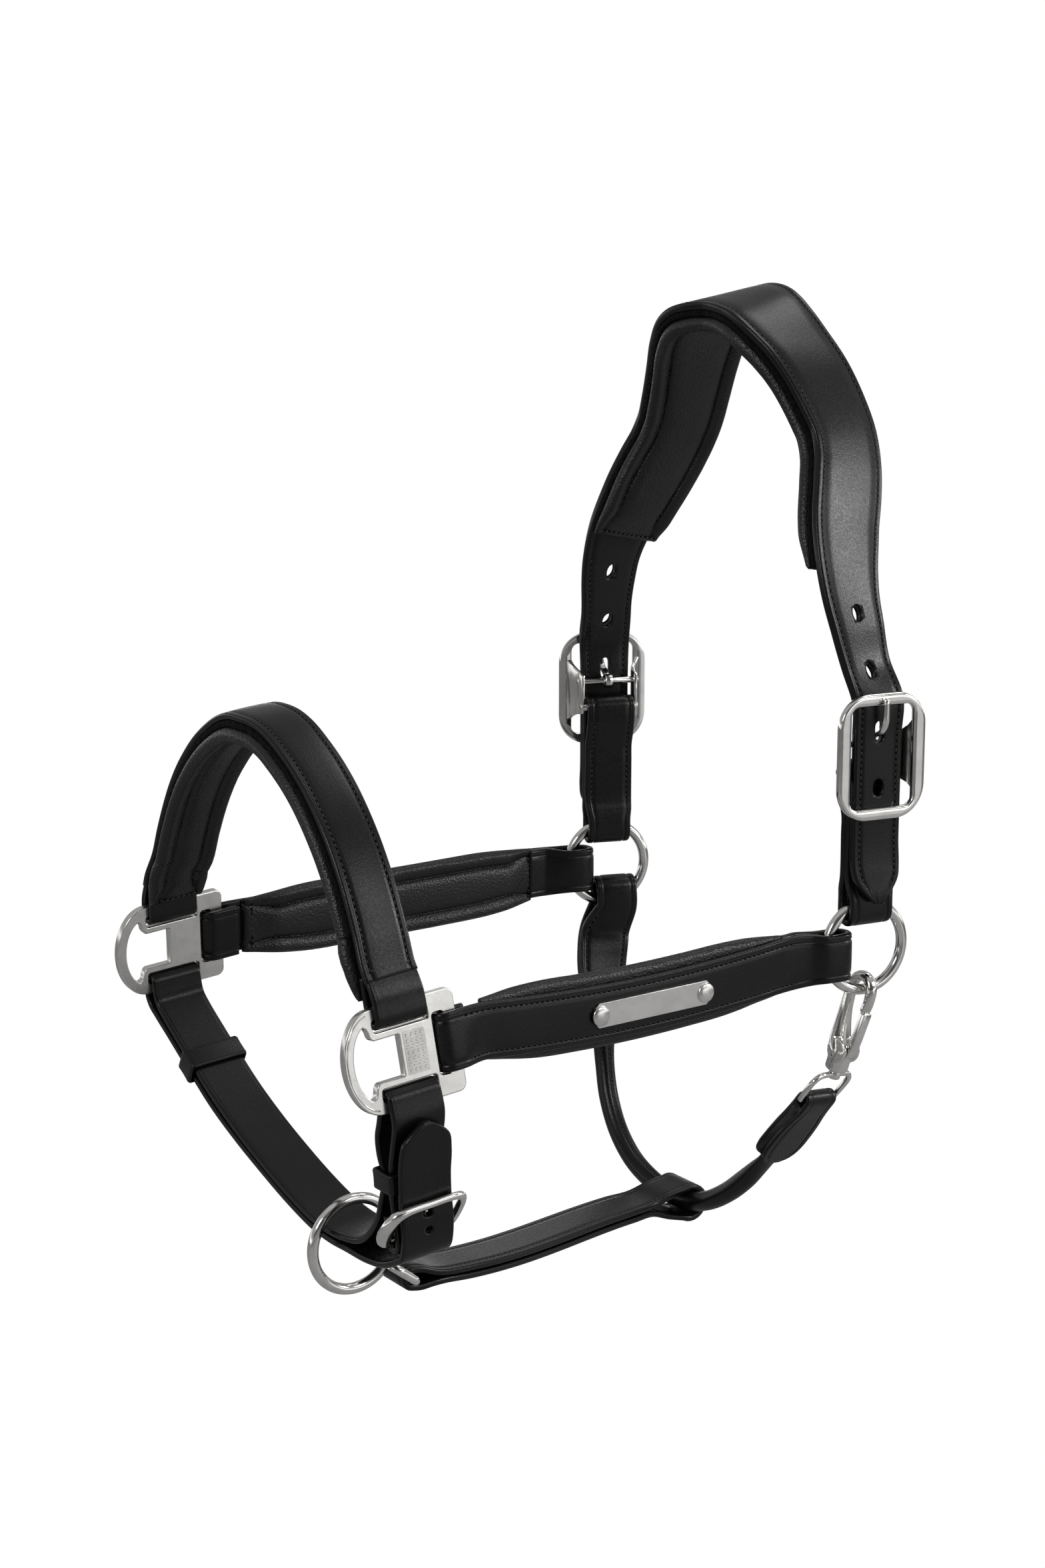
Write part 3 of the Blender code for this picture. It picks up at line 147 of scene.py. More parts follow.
def whole_turn(count):
    return arc(0, 360 - 360 / count, count - 1)


def rounded_rectangle(width, height, radius, steps):
    points = []
    for sx, sy, turn in ((1, 1, 0), (-1, 1, 90), (-1, -1, 180), (1, -1, 270)):
        for t in arc(turn, turn + 90, steps):
            points.append((sx * (width / 2 - radius) + radius * math.cos(t),
                           sy * (height / 2 - radius) + radius * math.sin(t)))
    return points


# ---------------------------------------------------------------- materials

def node(tree, kind, **settings):
    made = tree.nodes.new(kind)
    for key, value in settings.items():
        if key in made.inputs.keys():
            made.inputs[key].default_value = value
        else:
            setattr(made, key, value)
    return made


def feed(target, socket, value):
    target.id_data.links.new(value, target.inputs[socket])


def plain(name, colour, rough, metallic=0.0, **extra):
    made = bpy.data.materials.new(name)
    made.use_nodes = True
    shader = made.node_tree.nodes["Principled BSDF"]
    shader.inputs["Base Color"].default_value = (*colour, 1)
    shader.inputs["Roughness"].default_value = rough
    shader.inputs["Metallic"].default_value = metallic
    for key, value in extra.items():
        shader.inputs[key].default_value = value
    return made, made.node_tree, shader


def object_coords(tree, scale=(1, 1, 1)):
    place = node(tree, "ShaderNodeTexCoord")
    turn = node(tree, "ShaderNodeMapping")
    turn.inputs["Scale"].default_value = scale
    feed(turn, "Vector", place.outputs["Object"])
    return turn.outputs["Vector"]


def noise(tree, coords, scale, detail, rough=0.55):
    made = node(tree, "ShaderNodeTexNoise", Scale=scale, Detail=detail, Roughness=rough)
    feed(made, "Vector", coords)
    return made.outputs["Fac"]


def cells(tree, coords, scale, feature="F1", smooth=0.6):
    made = node(tree, "ShaderNodeTexVoronoi", feature=feature, Scale=scale)
    if feature == "SMOOTH_F1":
        made.inputs["Smoothness"].default_value = smooth
    feed(made, "Vector", coords)
    return made.outputs["Distance"]


def ramp(tree, value, stops):
    made = node(tree, "ShaderNodeValToRGB")
    bar = made.color_ramp
    while len(bar.elements) < len(stops):
        bar.elements.new(0.5)
    for element, (place, shade) in zip(bar.elements, stops):
        element.position = place
        colour = shade if isinstance(shade, tuple) else (shade, shade, shade)
        element.color = (*colour, 1)
    feed(made, "Fac", value)
    return made.outputs["Color"]


def bump(tree, height, strength, distance, under=None):
    made = node(tree, "ShaderNodeBump", Strength=strength, Distance=distance * MM)
    feed(made, "Height", height)
    if under is not None:
        feed(made, "Normal", under)
    return made.outputs["Normal"]


def edge_value(tree):
    return node(tree, "ShaderNodeAttribute", attribute_name="edge").outputs["Fac"]


def mix_factor(tree, a, b, share):
    made = node(tree, "ShaderNodeMix", data_type="FLOAT")
    for socket, value in (("A", a), ("B", b), ("Factor", share)):
        target = made.inputs[{"Factor": 0, "A": 2, "B": 3}[socket]]
        if isinstance(value, (int, float)):
            target.default_value = value
        else:
            tree.links.new(value, target)
    return made.outputs[0]


def bridle_leather(name, rough=(0.22, 0.36), grain=0.30):
    """Smooth dyed strap leather: fine pores, faint growth marks and burnished edges."""
    made, tree, shader = plain(name, (0.005, 0.005, 0.005), 0.4, **{"Specular IOR Level": 0.34})
    coords = object_coords(tree)
    cloud = noise(tree, coords, 38, 4)
    colour = ramp(tree, cloud, [(0.30, (0.0035, 0.0035, 0.0036)), (0.72, (0.0085, 0.0082, 0.0080))])
    feed(shader, "Base Color", colour)
    worn = ramp(tree, noise(tree, coords, 900, 5, 0.7), [(0.35, rough[0]), (0.65, rough[1])])
    feed(shader, "Roughness", mix_factor(tree, worn, 0.22, edge_value(tree)))
    pores = bump(tree, cells(tree, coords, 1300, "SMOOTH_F1"), grain, 0.12)
    marks = bump(tree, noise(tree, coords, 1100, 5, 0.7), 0.28, 0.12, pores)
    feed(shader, "Normal", bump(tree, noise(tree, coords, 22, 2), 0.10, 0.3, marks))
    return made


def nappa_leather(name):
    """Soft pebbled cover leather, its grain tops polished by handling."""
    made, tree, shader = plain(name, (0.006, 0.006, 0.006), 0.5, **{
        "Sheen Weight": 0.02, "Sheen Roughness": 0.4, "Specular IOR Level": 0.5})
    coords = object_coords(tree)
    pebble = cells(tree, coords, 900, "SMOOTH_F1", 0.35)
    cloud = noise(tree, coords, 55, 4)
    colour = ramp(tree, cloud, [(0.30, (0.004, 0.004, 0.004)), (0.75, (0.010, 0.0095, 0.009))])
    feed(shader, "Base Color", colour)
    feed(shader, "Roughness", ramp(tree, pebble, [(0.10, 0.17), (0.60, 0.44)]))
    turned = node(tree, "ShaderNodeMath", operation="SUBTRACT")
    turned.inputs[0].default_value = 1.0
    tree.links.new(pebble, turned.inputs[1])
    grain = bump(tree, turned.outputs[0], 0.9, 0.24)
    fine = bump(tree, noise(tree, coords, 2600, 3), 0.30, 0.06, grain)
    folds = bump(tree, noise(tree, coords, 120, 3, 0.6), 0.35, 0.35, fine)
    feed(shader, "Normal", folds)
    return made


def black_felt(name):
    made, tree, shader = plain(name, (0.004, 0.004, 0.004), 0.95, **{
        "Sheen Weight": 0.08, "Sheen Roughness": 0.35, "Specular IOR Level": 0.15})
    shader.inputs["Sheen Tint"].default_value = (0.35, 0.35, 0.36, 1)
    coords = object_coords(tree)
    tufts = bump(tree, noise(tree, coords, 1300, 5, 0.7), 0.9, 0.45)
    pile = bump(tree, cells(tree, coords, 900), 0.6, 0.35, tufts)
    feed(shader, "Base Color", ramp(tree, noise(tree, coords, 700, 3), [(0.35, 0.002), (0.70, 0.009)]))
    feed(shader, "Normal", pile)
    return made


def nickel(name, rough=(0.09, 0.20), tint=(0.90, 0.885, 0.86), drag=None):
    """Nickel plate: a slightly warm mirror, clouded by handling, with hairline scratches."""
    made, tree, shader = plain(name, tint, 0.15, 1.0)
    coords = object_coords(tree)
    cloud = noise(tree, coords, 90, 5, 0.6)
    feed(shader, "Roughness", ramp(tree, cloud, [(0.35, rough[0]), (0.75, rough[1])]))
    low = tuple(c * 0.88 for c in tint)
    feed(shader, "Base Color", ramp(tree, noise(tree, coords, 160, 3), [(0.3, low), (0.6, tint)]))
    lines = noise(tree, object_coords(tree, drag or (300, 300, 2200)), 1.0, 4, 0.6)
    scratch = bump(tree, lines, 0.10 if drag is None else 0.35, 0.03)
    feed(shader, "Normal", bump(tree, noise(tree, coords, 260, 3), 0.12, 0.12, scratch))
    return made


def thread_material():
    made, tree, shader = plain("bonded_thread", (0.012, 0.012, 0.012), 0.42, **{"Specular IOR Level": 0.5})
    coords = object_coords(tree)
    twist = bump(tree, noise(tree, coords, 3500, 2), 0.5, 0.08)
    feed(shader, "Normal", twist)
    feed(shader, "Base Color", ramp(tree, noise(tree, coords, 600, 2), [(0.35, 0.006), (0.7, 0.022)]))
    return made


def painted_hole_shade(name):
    """Painted shade: a near-black, unshiny material that stands in for the shadow inside an awl hole."""
    return plain(name, (0.0006, 0.0006, 0.0006), 1.0, **{"Specular IOR Level": 0.0})[0]


BRIDLE = bridle_leather("bridle_leather")
CHIN_HIDE = bridle_leather("chin_leather", (0.24, 0.38), 0.22)
NAPPA = nappa_leather("nappa_leather")
FELT_STUFF = black_felt("black_felt")
NICKEL = nickel("polished_nickel")
PLATE_NICKEL = nickel("plate_nickel", (0.22, 0.34), (0.88, 0.865, 0.84), (260, 2600, 2600))
BRUSHED = nickel("brushed_nameplate", (0.28, 0.40), (0.80, 0.79, 0.775), (200, 2600, 3800))
THREAD = thread_material()
# painted shade: near-black material for the small lenses that stand in for the shadow inside awl holes
AWL_HOLE_SHADE = painted_hole_shade("awl_hole_painted_shade")
CAST = nickel("cast_nickel", (0.07, 0.16), (0.86, 0.845, 0.82))


# ---------------------------------------------------------------- making meshes

def mesh_of(name, verts, faces):
    mesh = bpy.data.meshes.new(name)
    mesh.from_pydata((np.asarray(verts, dtype=float) * MM).tolist(), [], faces)
    return mesh


def turn_outward(mesh):
    work = bmesh.new()
    work.from_mesh(mesh)
    bmesh.ops.recalc_face_normals(work, faces=work.faces)
    work.to_mesh(mesh)
    work.free()


def evaluated_mesh(target):
    """The target's mesh as its modifiers leave it."""
    bpy.context.view_layer.update()
    graph = bpy.context.evaluated_depsgraph_get()
    return bpy.data.meshes.new_from_object(target.evaluated_get(graph))


def finish_mesh(name, mesh, material, body, nodes):
    turn_outward(mesh)
    for face in mesh.polygons:
        face.use_smooth = True
    mesh.materials.clear()
    mesh.materials.append(material)
    made = bpy.data.objects.new(name, mesh)
    bpy.context.collection.objects.link(made)
    if nodes:
        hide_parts(*nodes)
    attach(made, body)
    return made


def add(name, verts, faces, material, body, nodes, slot=None, edge=None):
    """Make one piece from millimetre points, and hang it on its CAD body."""
    mesh = mesh_of(name, verts, faces)
    if edge is not None:
        mesh.attributes.new("edge", "FLOAT", "POINT").data.foreach_set("value", np.asarray(edge, np.float32))
    return finish_mesh(name, mesh, material, body, nodes)


def loft(rings, closed=False):
    """Skin equal rings of points, capped at both ends unless the row of rings closes on itself."""
    count = len(rings[0])
    faces = []
    for i in range(len(rings) if closed else len(rings) - 1):
        a, b = i * count, ((i + 1) % len(rings)) * count
        for j in range(count):
            n = (j + 1) % count
            faces.append((a + j, a + n, b + n, b + j))
    if not closed:
        faces.append(tuple(range(count))[::-1])
        faces.append(tuple(range((len(rings) - 1) * count, len(rings) * count)))
    return np.vstack([np.asarray(r, dtype=float) for r in rings]), faces


def merge(parts):
    """Join several (verts, faces) into one."""
    verts, faces, start = [], [], 0
    for v, f in parts:
        verts.append(np.asarray(v, dtype=float))
        faces += [tuple(i + start for i in face) for face in f]
        start += len(v)
    return np.vstack(verts), faces


# ---------------------------------------------------------------- strap paths

class Path:
    """Dense stations along a strap: centre, along, across, through, half width, thickness, distance."""

    def __init__(self, centre, across, half, thick):
        self.c = np.asarray(centre, dtype=float)
        step = np.diff(self.c, axis=0)
        step /= np.maximum(np.linalg.norm(step, axis=1), 1e-9)[:, None]
        along = np.vstack([step[:1], step[1:] + step[:-1], step[-1:]])
        self.along = along / np.linalg.norm(along, axis=1)[:, None]
        a = np.asarray(across, dtype=float)
        a = a - self.along * np.sum(a * self.along, axis=1)[:, None]
        self.across = a / np.linalg.norm(a, axis=1)[:, None]
        self.through = np.cross(self.along, self.across)
        self.half = np.asarray(half, dtype=float)
        self.thick = np.asarray(thick, dtype=float)
        self.s = np.r_[0, np.cumsum(np.linalg.norm(np.diff(self.c, axis=0), axis=1))]

    def at(self, i, a, b):
        return self.c[i] + self.across[i] * a + self.through[i] * b

    def layer(self, depth, thick, grow=0.0):
        centre = self.c + self.through * np.broadcast_to(depth, self.s.shape)[:, None]
        made = Path(centre, self.across, self.half + grow, np.broadcast_to(thick, self.s.shape))
        made.across, made.through = self.across, self.through
        return made

    def part(self, keep):
        made = Path(self.c[keep], self.across[keep], self.half[keep], self.thick[keep])
        made.across, made.through = self.across[keep], self.through[keep]
        return made


def ring_path(rows, step):
    """A band that closes on itself: one turn of the curve, without repeating its first station."""
    turns = list(rows[-2:]) + list(rows) + list(rows[:3])
    path = dense(turns, step)
    first, last = path.knots[2], path.knots[2 + len(rows)]
    return path.part(slice(first, last))


def between(a, b, start, end, t):
    return a * (end - t) / (end - start) + b * (t - start) / (end - start)


def spline(rows, step, closed=False):
    """Centripetal Catmull-Rom curve through rows that start with a place, and where each row falls on it."""
    p = np.array(rows, dtype=float)
    if closed:
        p = np.vstack([p[-1], p, p[0], p[1]])
    else:
        p = np.vstack([2 * p[0] - p[1], p, 2 * p[-1] - p[-2]])
    out, knots = [], []
    for i in range(1, len(p) - 2):
        q = p[i - 1:i + 3]
        gaps = np.sqrt(np.maximum(np.linalg.norm(np.diff(q[:, :3], axis=0), axis=1), 1e-4))
        k = np.r_[0, np.cumsum(gaps)]
        count = max(1, int(round(np.linalg.norm(q[2, :3] - q[1, :3]) / step)))
        knots.append(len(out))
        for t in k[1] + (k[2] - k[1]) * np.arange(count) / count:
            a1, a2, a3 = (between(q[j], q[j + 1], k[j], k[j + 1], t) for j in range(3))
            b1, b2 = between(a1, a2, k[0], k[2], t), between(a2, a3, k[1], k[3], t)
            out.append(between(b1, b2, k[1], k[2], t))
    knots.append(len(out))
    if not closed:
        out.append(p[-2])
    return np.array(out), knots


def smooth_points(rows, step, closed=False):
    return spline(rows, step, closed)[0]


def dense(rows, step):
    """Path through (centre, across, half width, thickness) rows."""
    out, knots = spline([np.r_[c, w, h, t] for c, w, h, t in rows], step)
    made = Path(out[:, :3], out[:, 3:6], out[:, 6], out[:, 7])
    made.knots = knots
    return made


# ---------------------------------------------------------------- leather straps and stitching

FACE_RELIEF = [(1.25, 0.0, 0.55), (1.7, -0.10, 0.3), (2.1, 0.02, 0.15), (2.6, 0.0, 0.0), (2.95, -0.26, 0.0),
               (3.2, -0.36, 0.0), (3.45, -0.26, 0.0), (3.85, 0.0, 0.0)]


def strap_profile(half, thick, sewn, crown):
    """Closed outline of a strap: rounded edges, an edge crease and a sunk stitch line on both faces."""
    t = thick / 2
    r = min(1.15, t * 0.8, half * 0.5)
    squeeze = min(1.0, half / 6.0)
    calm = min(1.0, max(0.0, (half - 7.0) / 4.0))
    top = []
    for angle in arc(180, 90, 4):
        top.append((-half + r + r * math.cos(angle), t - r + r * math.sin(angle), 1.0))
    for inset, dip, worn in FACE_RELIEF:
        if inset > 2.5 and not sewn:
            dip = 0.0
        top.append((-half + inset * squeeze, t + dip * calm, worn))
    for share in (0.55, 0.25, 0.0):
        top.append((-half * share, t + crown * (1 - share * share), 0.0))
    top = [(a, b, e) for a, b, e in top if a <= 0.001]
    top = sorted(set(top), key=lambda q: (q[0], q[1]))
    upper = top + [(-a, b, e) for a, b, e in top[::-1] if a < -0.001]
    lower = [(a, -b, e) for a, b, e in upper[::-1]]
    return upper + lower


def strap_mesh(path, sewn=True, crown=0.0, closed=False):
    rings, edges = [], []
    for i in range(len(path.s)):
        outline = strap_profile(path.half[i], path.thick[i], sewn, crown)
        rings.append([path.at(i, a, b) for a, b, _ in outline])
        edges += [e for _, _, e in outline]
    verts, faces = loft(rings, closed)
    return verts, faces, edges


def strap(name, path, material, body, nodes, sewn=True, crown=0.0, closed=False):
    verts, faces, edges = strap_mesh(path, sewn, crown, closed)
    return add(name, verts, faces, material, body, nodes, edge=edges)


def facing(path, keep, way, inset=STITCH_INSET, pitch=PITCH):
    """Stitches on the face that looks toward `way`, along every stretch of the path where `keep` holds."""
    places = []
    marks = np.flatnonzero(np.diff(np.r_[False, keep, False].astype(int)))
    for first, last in zip(marks[::2], marks[1::2]):
        if last - first < 4:
            continue
        run = path.part(slice(first, last))
        face = 1 if np.dot(run.through[len(run.s) // 2], way) > 0 else -1
        places += stitch_places(run, inset, face, 0.5, run.s[-1] - 0.5, pitch)
    return places


def stitch_places(path, inset, face, start, end=1e9, pitch=PITCH):
    """Stitch positions along both edges on one face: (point, along, across, outward)."""
    places = []
    last = min(end, path.s[-1])
    for edge in (-1, 1):
        for s in np.arange(start + pitch / 2, last, pitch):
            i = int(np.searchsorted(path.s, s))
            i = min(max(i, 1), len(path.s) - 1)
            f = (s - path.s[i - 1]) / max(path.s[i] - path.s[i - 1], 1e-6)
            half = path.half[i - 1] * (1 - f) + path.half[i] * f
            if half < inset + 1:
                continue
            depth = face * (path.thick[i] / 2 - 0.30)
            a = edge * (half - inset)
            point = path.at(i - 1, a, depth) * (1 - f) + path.at(i, a, depth) * f
            places.append((point, path.along[i], path.across[i] * edge, path.through[i] * face))
    return places


STITCH_SHAPE = [(-1.0, 0.14, -0.30), (-0.84, 0.30, -0.02), (-0.45, 0.36, 0.16), (0.45, 0.36, 0.16),
                (0.84, 0.30, -0.02), (1.0, 0.14, -0.30)]


def sew(name, places, body, slot, length=2.0):
    """One mesh of short thread stitches, each diving into the leather at both ends, and one mesh of
    near-black lenses that paint the shade of their awl holes.
    """
    parts, prick_shades = [], []
    c, s = math.cos(math.radians(STITCH_SLANT)), math.sin(math.radians(STITCH_SLANT))
    for point, along, across, out in places:
        run, side = along * c + across * s, across * c - along * s
        rings = []
        for x, radius, lift in STITCH_SHAPE:
            centre = point + run * x * length / 2 + out * lift
            rings.append([centre + side * radius * math.cos(t) + out * radius * 0.8 * math.sin(t)
                          for t in whole_turn(6)])
        parts.append(loft(rings))
        for x in (-1.2, 1.2):
            prick_shades.append(prick_shade(point + run * x * length / 2, run, side, out))
    if not parts:
        return
    add(name, *merge(parts), THREAD, body, (), slot)
    # painted shade: the near-black lenses at both ends of each stitch stand in for the shadow in the awl
    # holes
    add(name + "_hole_shade", *merge(prick_shades), AWL_HOLE_SHADE, body, (), slot)


def prick_shade(centre, run, side, out):
    """Painted shade for the awl hole at a stitch's end: a tiny near-black lens lying in the leather, not a
    real opening.
    """
    ring = [centre + run * 0.50 * math.cos(t) + side * 0.46 * math.sin(t) for t in whole_turn(6)]
    verts = ring + [centre + out * 0.12, centre - out * 0.25]
    faces = [(i, (i + 1) % 6, 6) for i in range(6)] + [((i + 1) % 6, i, 7) for i in range(6)]
    return np.array(verts), faces


# ---------------------------------------------------------------- headpiece

HEAD_EDGES = [
    ((-24.6, 0, 11), (19.6, 0, 19.4)), ((-26, 19, 8.5), (19.4, 15.5, 15.6)), ((-26, 30.5, 4), (21.4, 27, 7)),
    ((-21.5, 42, -5.5), (24.5, 36, -4)), ((-16.5, 51.5, -18), (27.5, 46, -17)),
    ((-12.5, 60.5, -33), (30, 55, -32.5)), ((-10.5, 67, -45), (31, 61, -45)),
    ((-12, 72.8, -58), (29, 66.8, -58)),
    ((-16.5, 78, -71), (24.8, 72, -70.5)), ((-21.5, 83, -85.5), (18.5, 78, -85)),
    ((-24.5, 88.5, -101), (12.5, 85, -101)), ((-24.5, 93, -116), (9, 91, -116)),
    ((-22.5, 97, -130), (8.5, 95.5, -130)), ((-19.5, 101, -146), (9, 99.5, -146)),
]
HEAD_TAIL = [
    (116, 5.75, 13.1), (100, 5.75, 12.6), (84, 5.75, 12.5), (66, 5.75, 12.5), (50, 5.8, 12.5),
    (40, 6.6, 12.5), (34, 7.8, 11.4), (29, 8.8, 8.2), (25, 9.3, 4.4), (22.6, 9.4, 1.8),
]


def head_side(side):
    """Rows of the headpiece from its crown down to one buckled end."""
    rows = []
    for front, rear in HEAD_EDGES:
        a, b = (vec(p[0], side * p[1], p[2]) for p in (front, rear))
        rows.append(((a + b) / 2, unit(b - a), np.linalg.norm(b - a) / 2, HEAD_THICKNESS))
    ring = ring_frame(side)
    for height, out, half in HEAD_TAIL:
        rows.append((ring.at(0, out + HEAD_THICKNESS / 2, height), ring.w, half, HEAD_THICKNESS))
    return rows


def cut(target, tools):
    for tool in tools:
        step = target.modifiers.new("cut", "BOOLEAN")
        step.operation, step.solver, step.object = "DIFFERENCE", "EXACT", tool
    solid = evaluated_mesh(target)
    target.modifiers.clear()
    target.data = solid
    for tool in tools:
        bpy.data.objects.remove(tool)
    for face in solid.polygons:
        face.use_smooth = True


def tool_object(verts, faces):
    mesh = mesh_of("tool", verts, faces)
    turn_outward(mesh)
    made = bpy.data.objects.new("tool", mesh)
    bpy.context.collection.objects.link(made)
    return made


def punch(start, end, radius):
    along = unit(end - start)
    a = unit(np.cross(along, X_AXIS if abs(along[0]) < 0.8 else Z_AXIS))
    b = np.cross(along, a)
    ring = [a * radius * math.cos(t) + b * radius * math.sin(t) for t in whole_turn(20)]
    return tool_object(*loft([[start + p for p in ring], [end + p for p in ring]]))


def build_headpiece():
    near, far = head_side(NEAR), head_side(FAR)
    surface = dense(near[::-1][:-1] + far, 1.5)
    body = "headpiece"
    leather = surface.layer(HEAD_THICKNESS / 2, HEAD_THICKNESS)
    piece = strap("headpiece_leather", leather, BRIDLE, body, ["headpiece_strap"], crown=0.25)
    tools, rims = [], []
    for side in SIDES:
        ring = ring_frame(side)
        for height in HOLE_HEIGHTS:
            level = RING_CENTRE[2] + height
            own = [i for i in range(len(surface.s)) if side * surface.c[i][1] > 60]
            i = min(own, key=lambda j: abs(surface.c[j][2] - level))
            centre = leather.c[i] + Z_AXIS * (level - leather.c[i][2])
            hole = Frame(centre, surface.across[i], surface.through[i], surface.along[i])
            oval = [(HOLE_HALF[0] * math.cos(t), HOLE_HALF[1] * math.sin(t)) for t in arc(5, 353, 29)]
            tools.append(tool_object(*loft([[hole.at(w, v, k) for w, k in oval] for v in (-7, 7)])))
            rims += [hole_rim(hole, oval, face * (HEAD_THICKNESS / 2 - 0.06)) for face in (-1, 1)]
        slot = [(w, k + PIN_HEIGHT + 6.0) for w, k in rounded_rectangle(5.2, 10.6, 2.5, 4)]
        tools.append(tool_object(*loft([[ring.at(w, v, k) for w, k in slot] for v in (-0.5, 12)])))
    cut(piece, tools)
    verts, faces = merge(rims)
    add("headpiece_hole_rims", verts, faces, BRIDLE, body, (), "headpiece_strap", [1.0] * len(verts))
    places = stitch_places(leather, STITCH_INSET, -1, 7, leather.s[-1] - 7)
    bare = leather.part(leather.c[:, 2] < HEAD_PAD_END - 4)
    split = int(np.argmax(np.diff(bare.c[:, 1])))
    for part in (slice(0, split), slice(split + 1, None)):
        places += stitch_places(bare.part(part), STITCH_INSET, 1, 7)
    sew("headpiece_stitching", places, body, "headpiece_strap")
    over = surface.c[:, 2] > HEAD_PAD_END
    depth = HEAD_THICKNESS + GAP + FELT / 2
    welt(surface.part(over).layer(depth, FELT), "headpiece_welt", body, "headpiece_felt")
    start = HEAD_THICKNESS + GAP + FELT + PAD_GAP - PAD_SINK
    pad("headpiece_cushion", surface.part(over), start, HEAD_PAD + PAD_SINK, PAD_GROW, body,
        "headpiece_pad", 16.0)


def hole_rim(hole, oval, v):
    """The rounded, slightly raised lip round a punched hole."""
    points = [hole.at(w * 1.06, v, k * 1.04) for w, k in oval]
    return loft(tube_rings(points, 0.34, 8, hole.v, closed=True), closed=True)


def welt(path, name, body, node_name):
    """The velvety layer between strap and pad, its edge slightly ragged."""
    ragged = 0.25 * np.sin(path.s * 2.1) + 0.2 * np.sin(path.s * 5.3 + 1.0)
    path.half = path.half - 0.1 + ragged
    rings = []
    for i in range(len(path.s)):
        h, t = path.half[i], path.thick[i] / 2 + 0.25
        outline = [(-h + 0.8, t), (h - 0.8, t), (h - 0.2, t * 0.7), (h, 0), (h - 0.2, -t * 0.7)]
        outline += [(-a, -b) for a, b in outline]
        rings.append([path.at(i, a, b) for a, b in outline])
    add(name, *loft(rings), FELT_STUFF, body, [node_name])


# ---------------------------------------------------------------- pads

def pad_profile(half, thick):
    """Outline of a pad, as (across, depth from the strap side): two rolled edges, a sewn channel inside
    each, and a flatter panel between them."""
    roll = min(PAD_ROLL, thick / 2)
    channel = half - 2 * roll - 0.9
    side = [(half - roll + roll * math.sin(t), thick / 2 - (thick / 2) * math.cos(t))
            for t in arc(0, 165, 11)]
    inner = [(channel + 0.75, thick * 0.74), (channel + 0.3, thick * 0.60), (channel, thick * 0.56),
             (channel - 0.3, thick * 0.60), (channel - 1.0, thick * 0.73), (channel - 2.4, thick * 0.82),
             (channel * 0.5, thick * 0.88), (0.0, thick * 0.90)]
    right = [(0.0, 0.0), (half * 0.5, 0.0)] + side + inner
    left = [(-a, b) for a, b in right[::-1]][1:-1]
    return right + left


def pad(name, path, start, thick, grow, body, node_name, taper):
    """A leather pad with its thinned, sewn-down ends; `start` is how deep its outer face lies."""
    ends = np.minimum(path.s, path.s[-1] - path.s)
    share = np.clip(ends / taper, 0, 1)
    share = share * share * (3 - 2 * share)
    tip = np.clip(ends / 1.6, 0.15, 1)
    thickness = thick * (0.42 + 0.58 * share) * np.sqrt(tip)
    half = path.half + grow
    rings = []
    for i in range(len(path.s)):
        outline = pad_profile(half[i], thickness[i])
        rings.append([path.at(i, a, start + b) for a, b in outline])
    verts, faces = loft(rings)
    verts = puff(verts, faces, path, start, thick)
    piece = add(name, verts, faces, NAPPA, body, [node_name])
    places = []
    for i_s in np.arange(taper * 0.8, path.s[-1] - taper * 0.8, PITCH):
        i = int(np.searchsorted(path.s, i_s))
        channel = half[i] - 2 * min(PAD_ROLL, thickness[i] / 2) - 0.9
        for edge in (-1, 1):
            point = path.at(i, edge * channel, start + thickness[i] * 0.56 - 0.05)
            places.append((point, path.along[i], path.across[i] * edge, path.through[i]))
    for end in (0, -1):
        inset = 3.4 if end == 0 else path.s[-1] - 3.4
        i = int(np.searchsorted(path.s, inset))
        for a in np.arange(-half[i] + 3, half[i] - 2.9, PITCH):
            depth = start + thickness[i] * 0.87
            places.append((path.at(i, a, depth), path.across[i], path.along[i], path.through[i]))
    sew(name + "_stitching", places, body, node_name)


def tree_of(points):
    tree = kdtree.KDTree(len(points))
    for i, p in enumerate(points):
        tree.insert(p, i)
    tree.balance()
    return tree


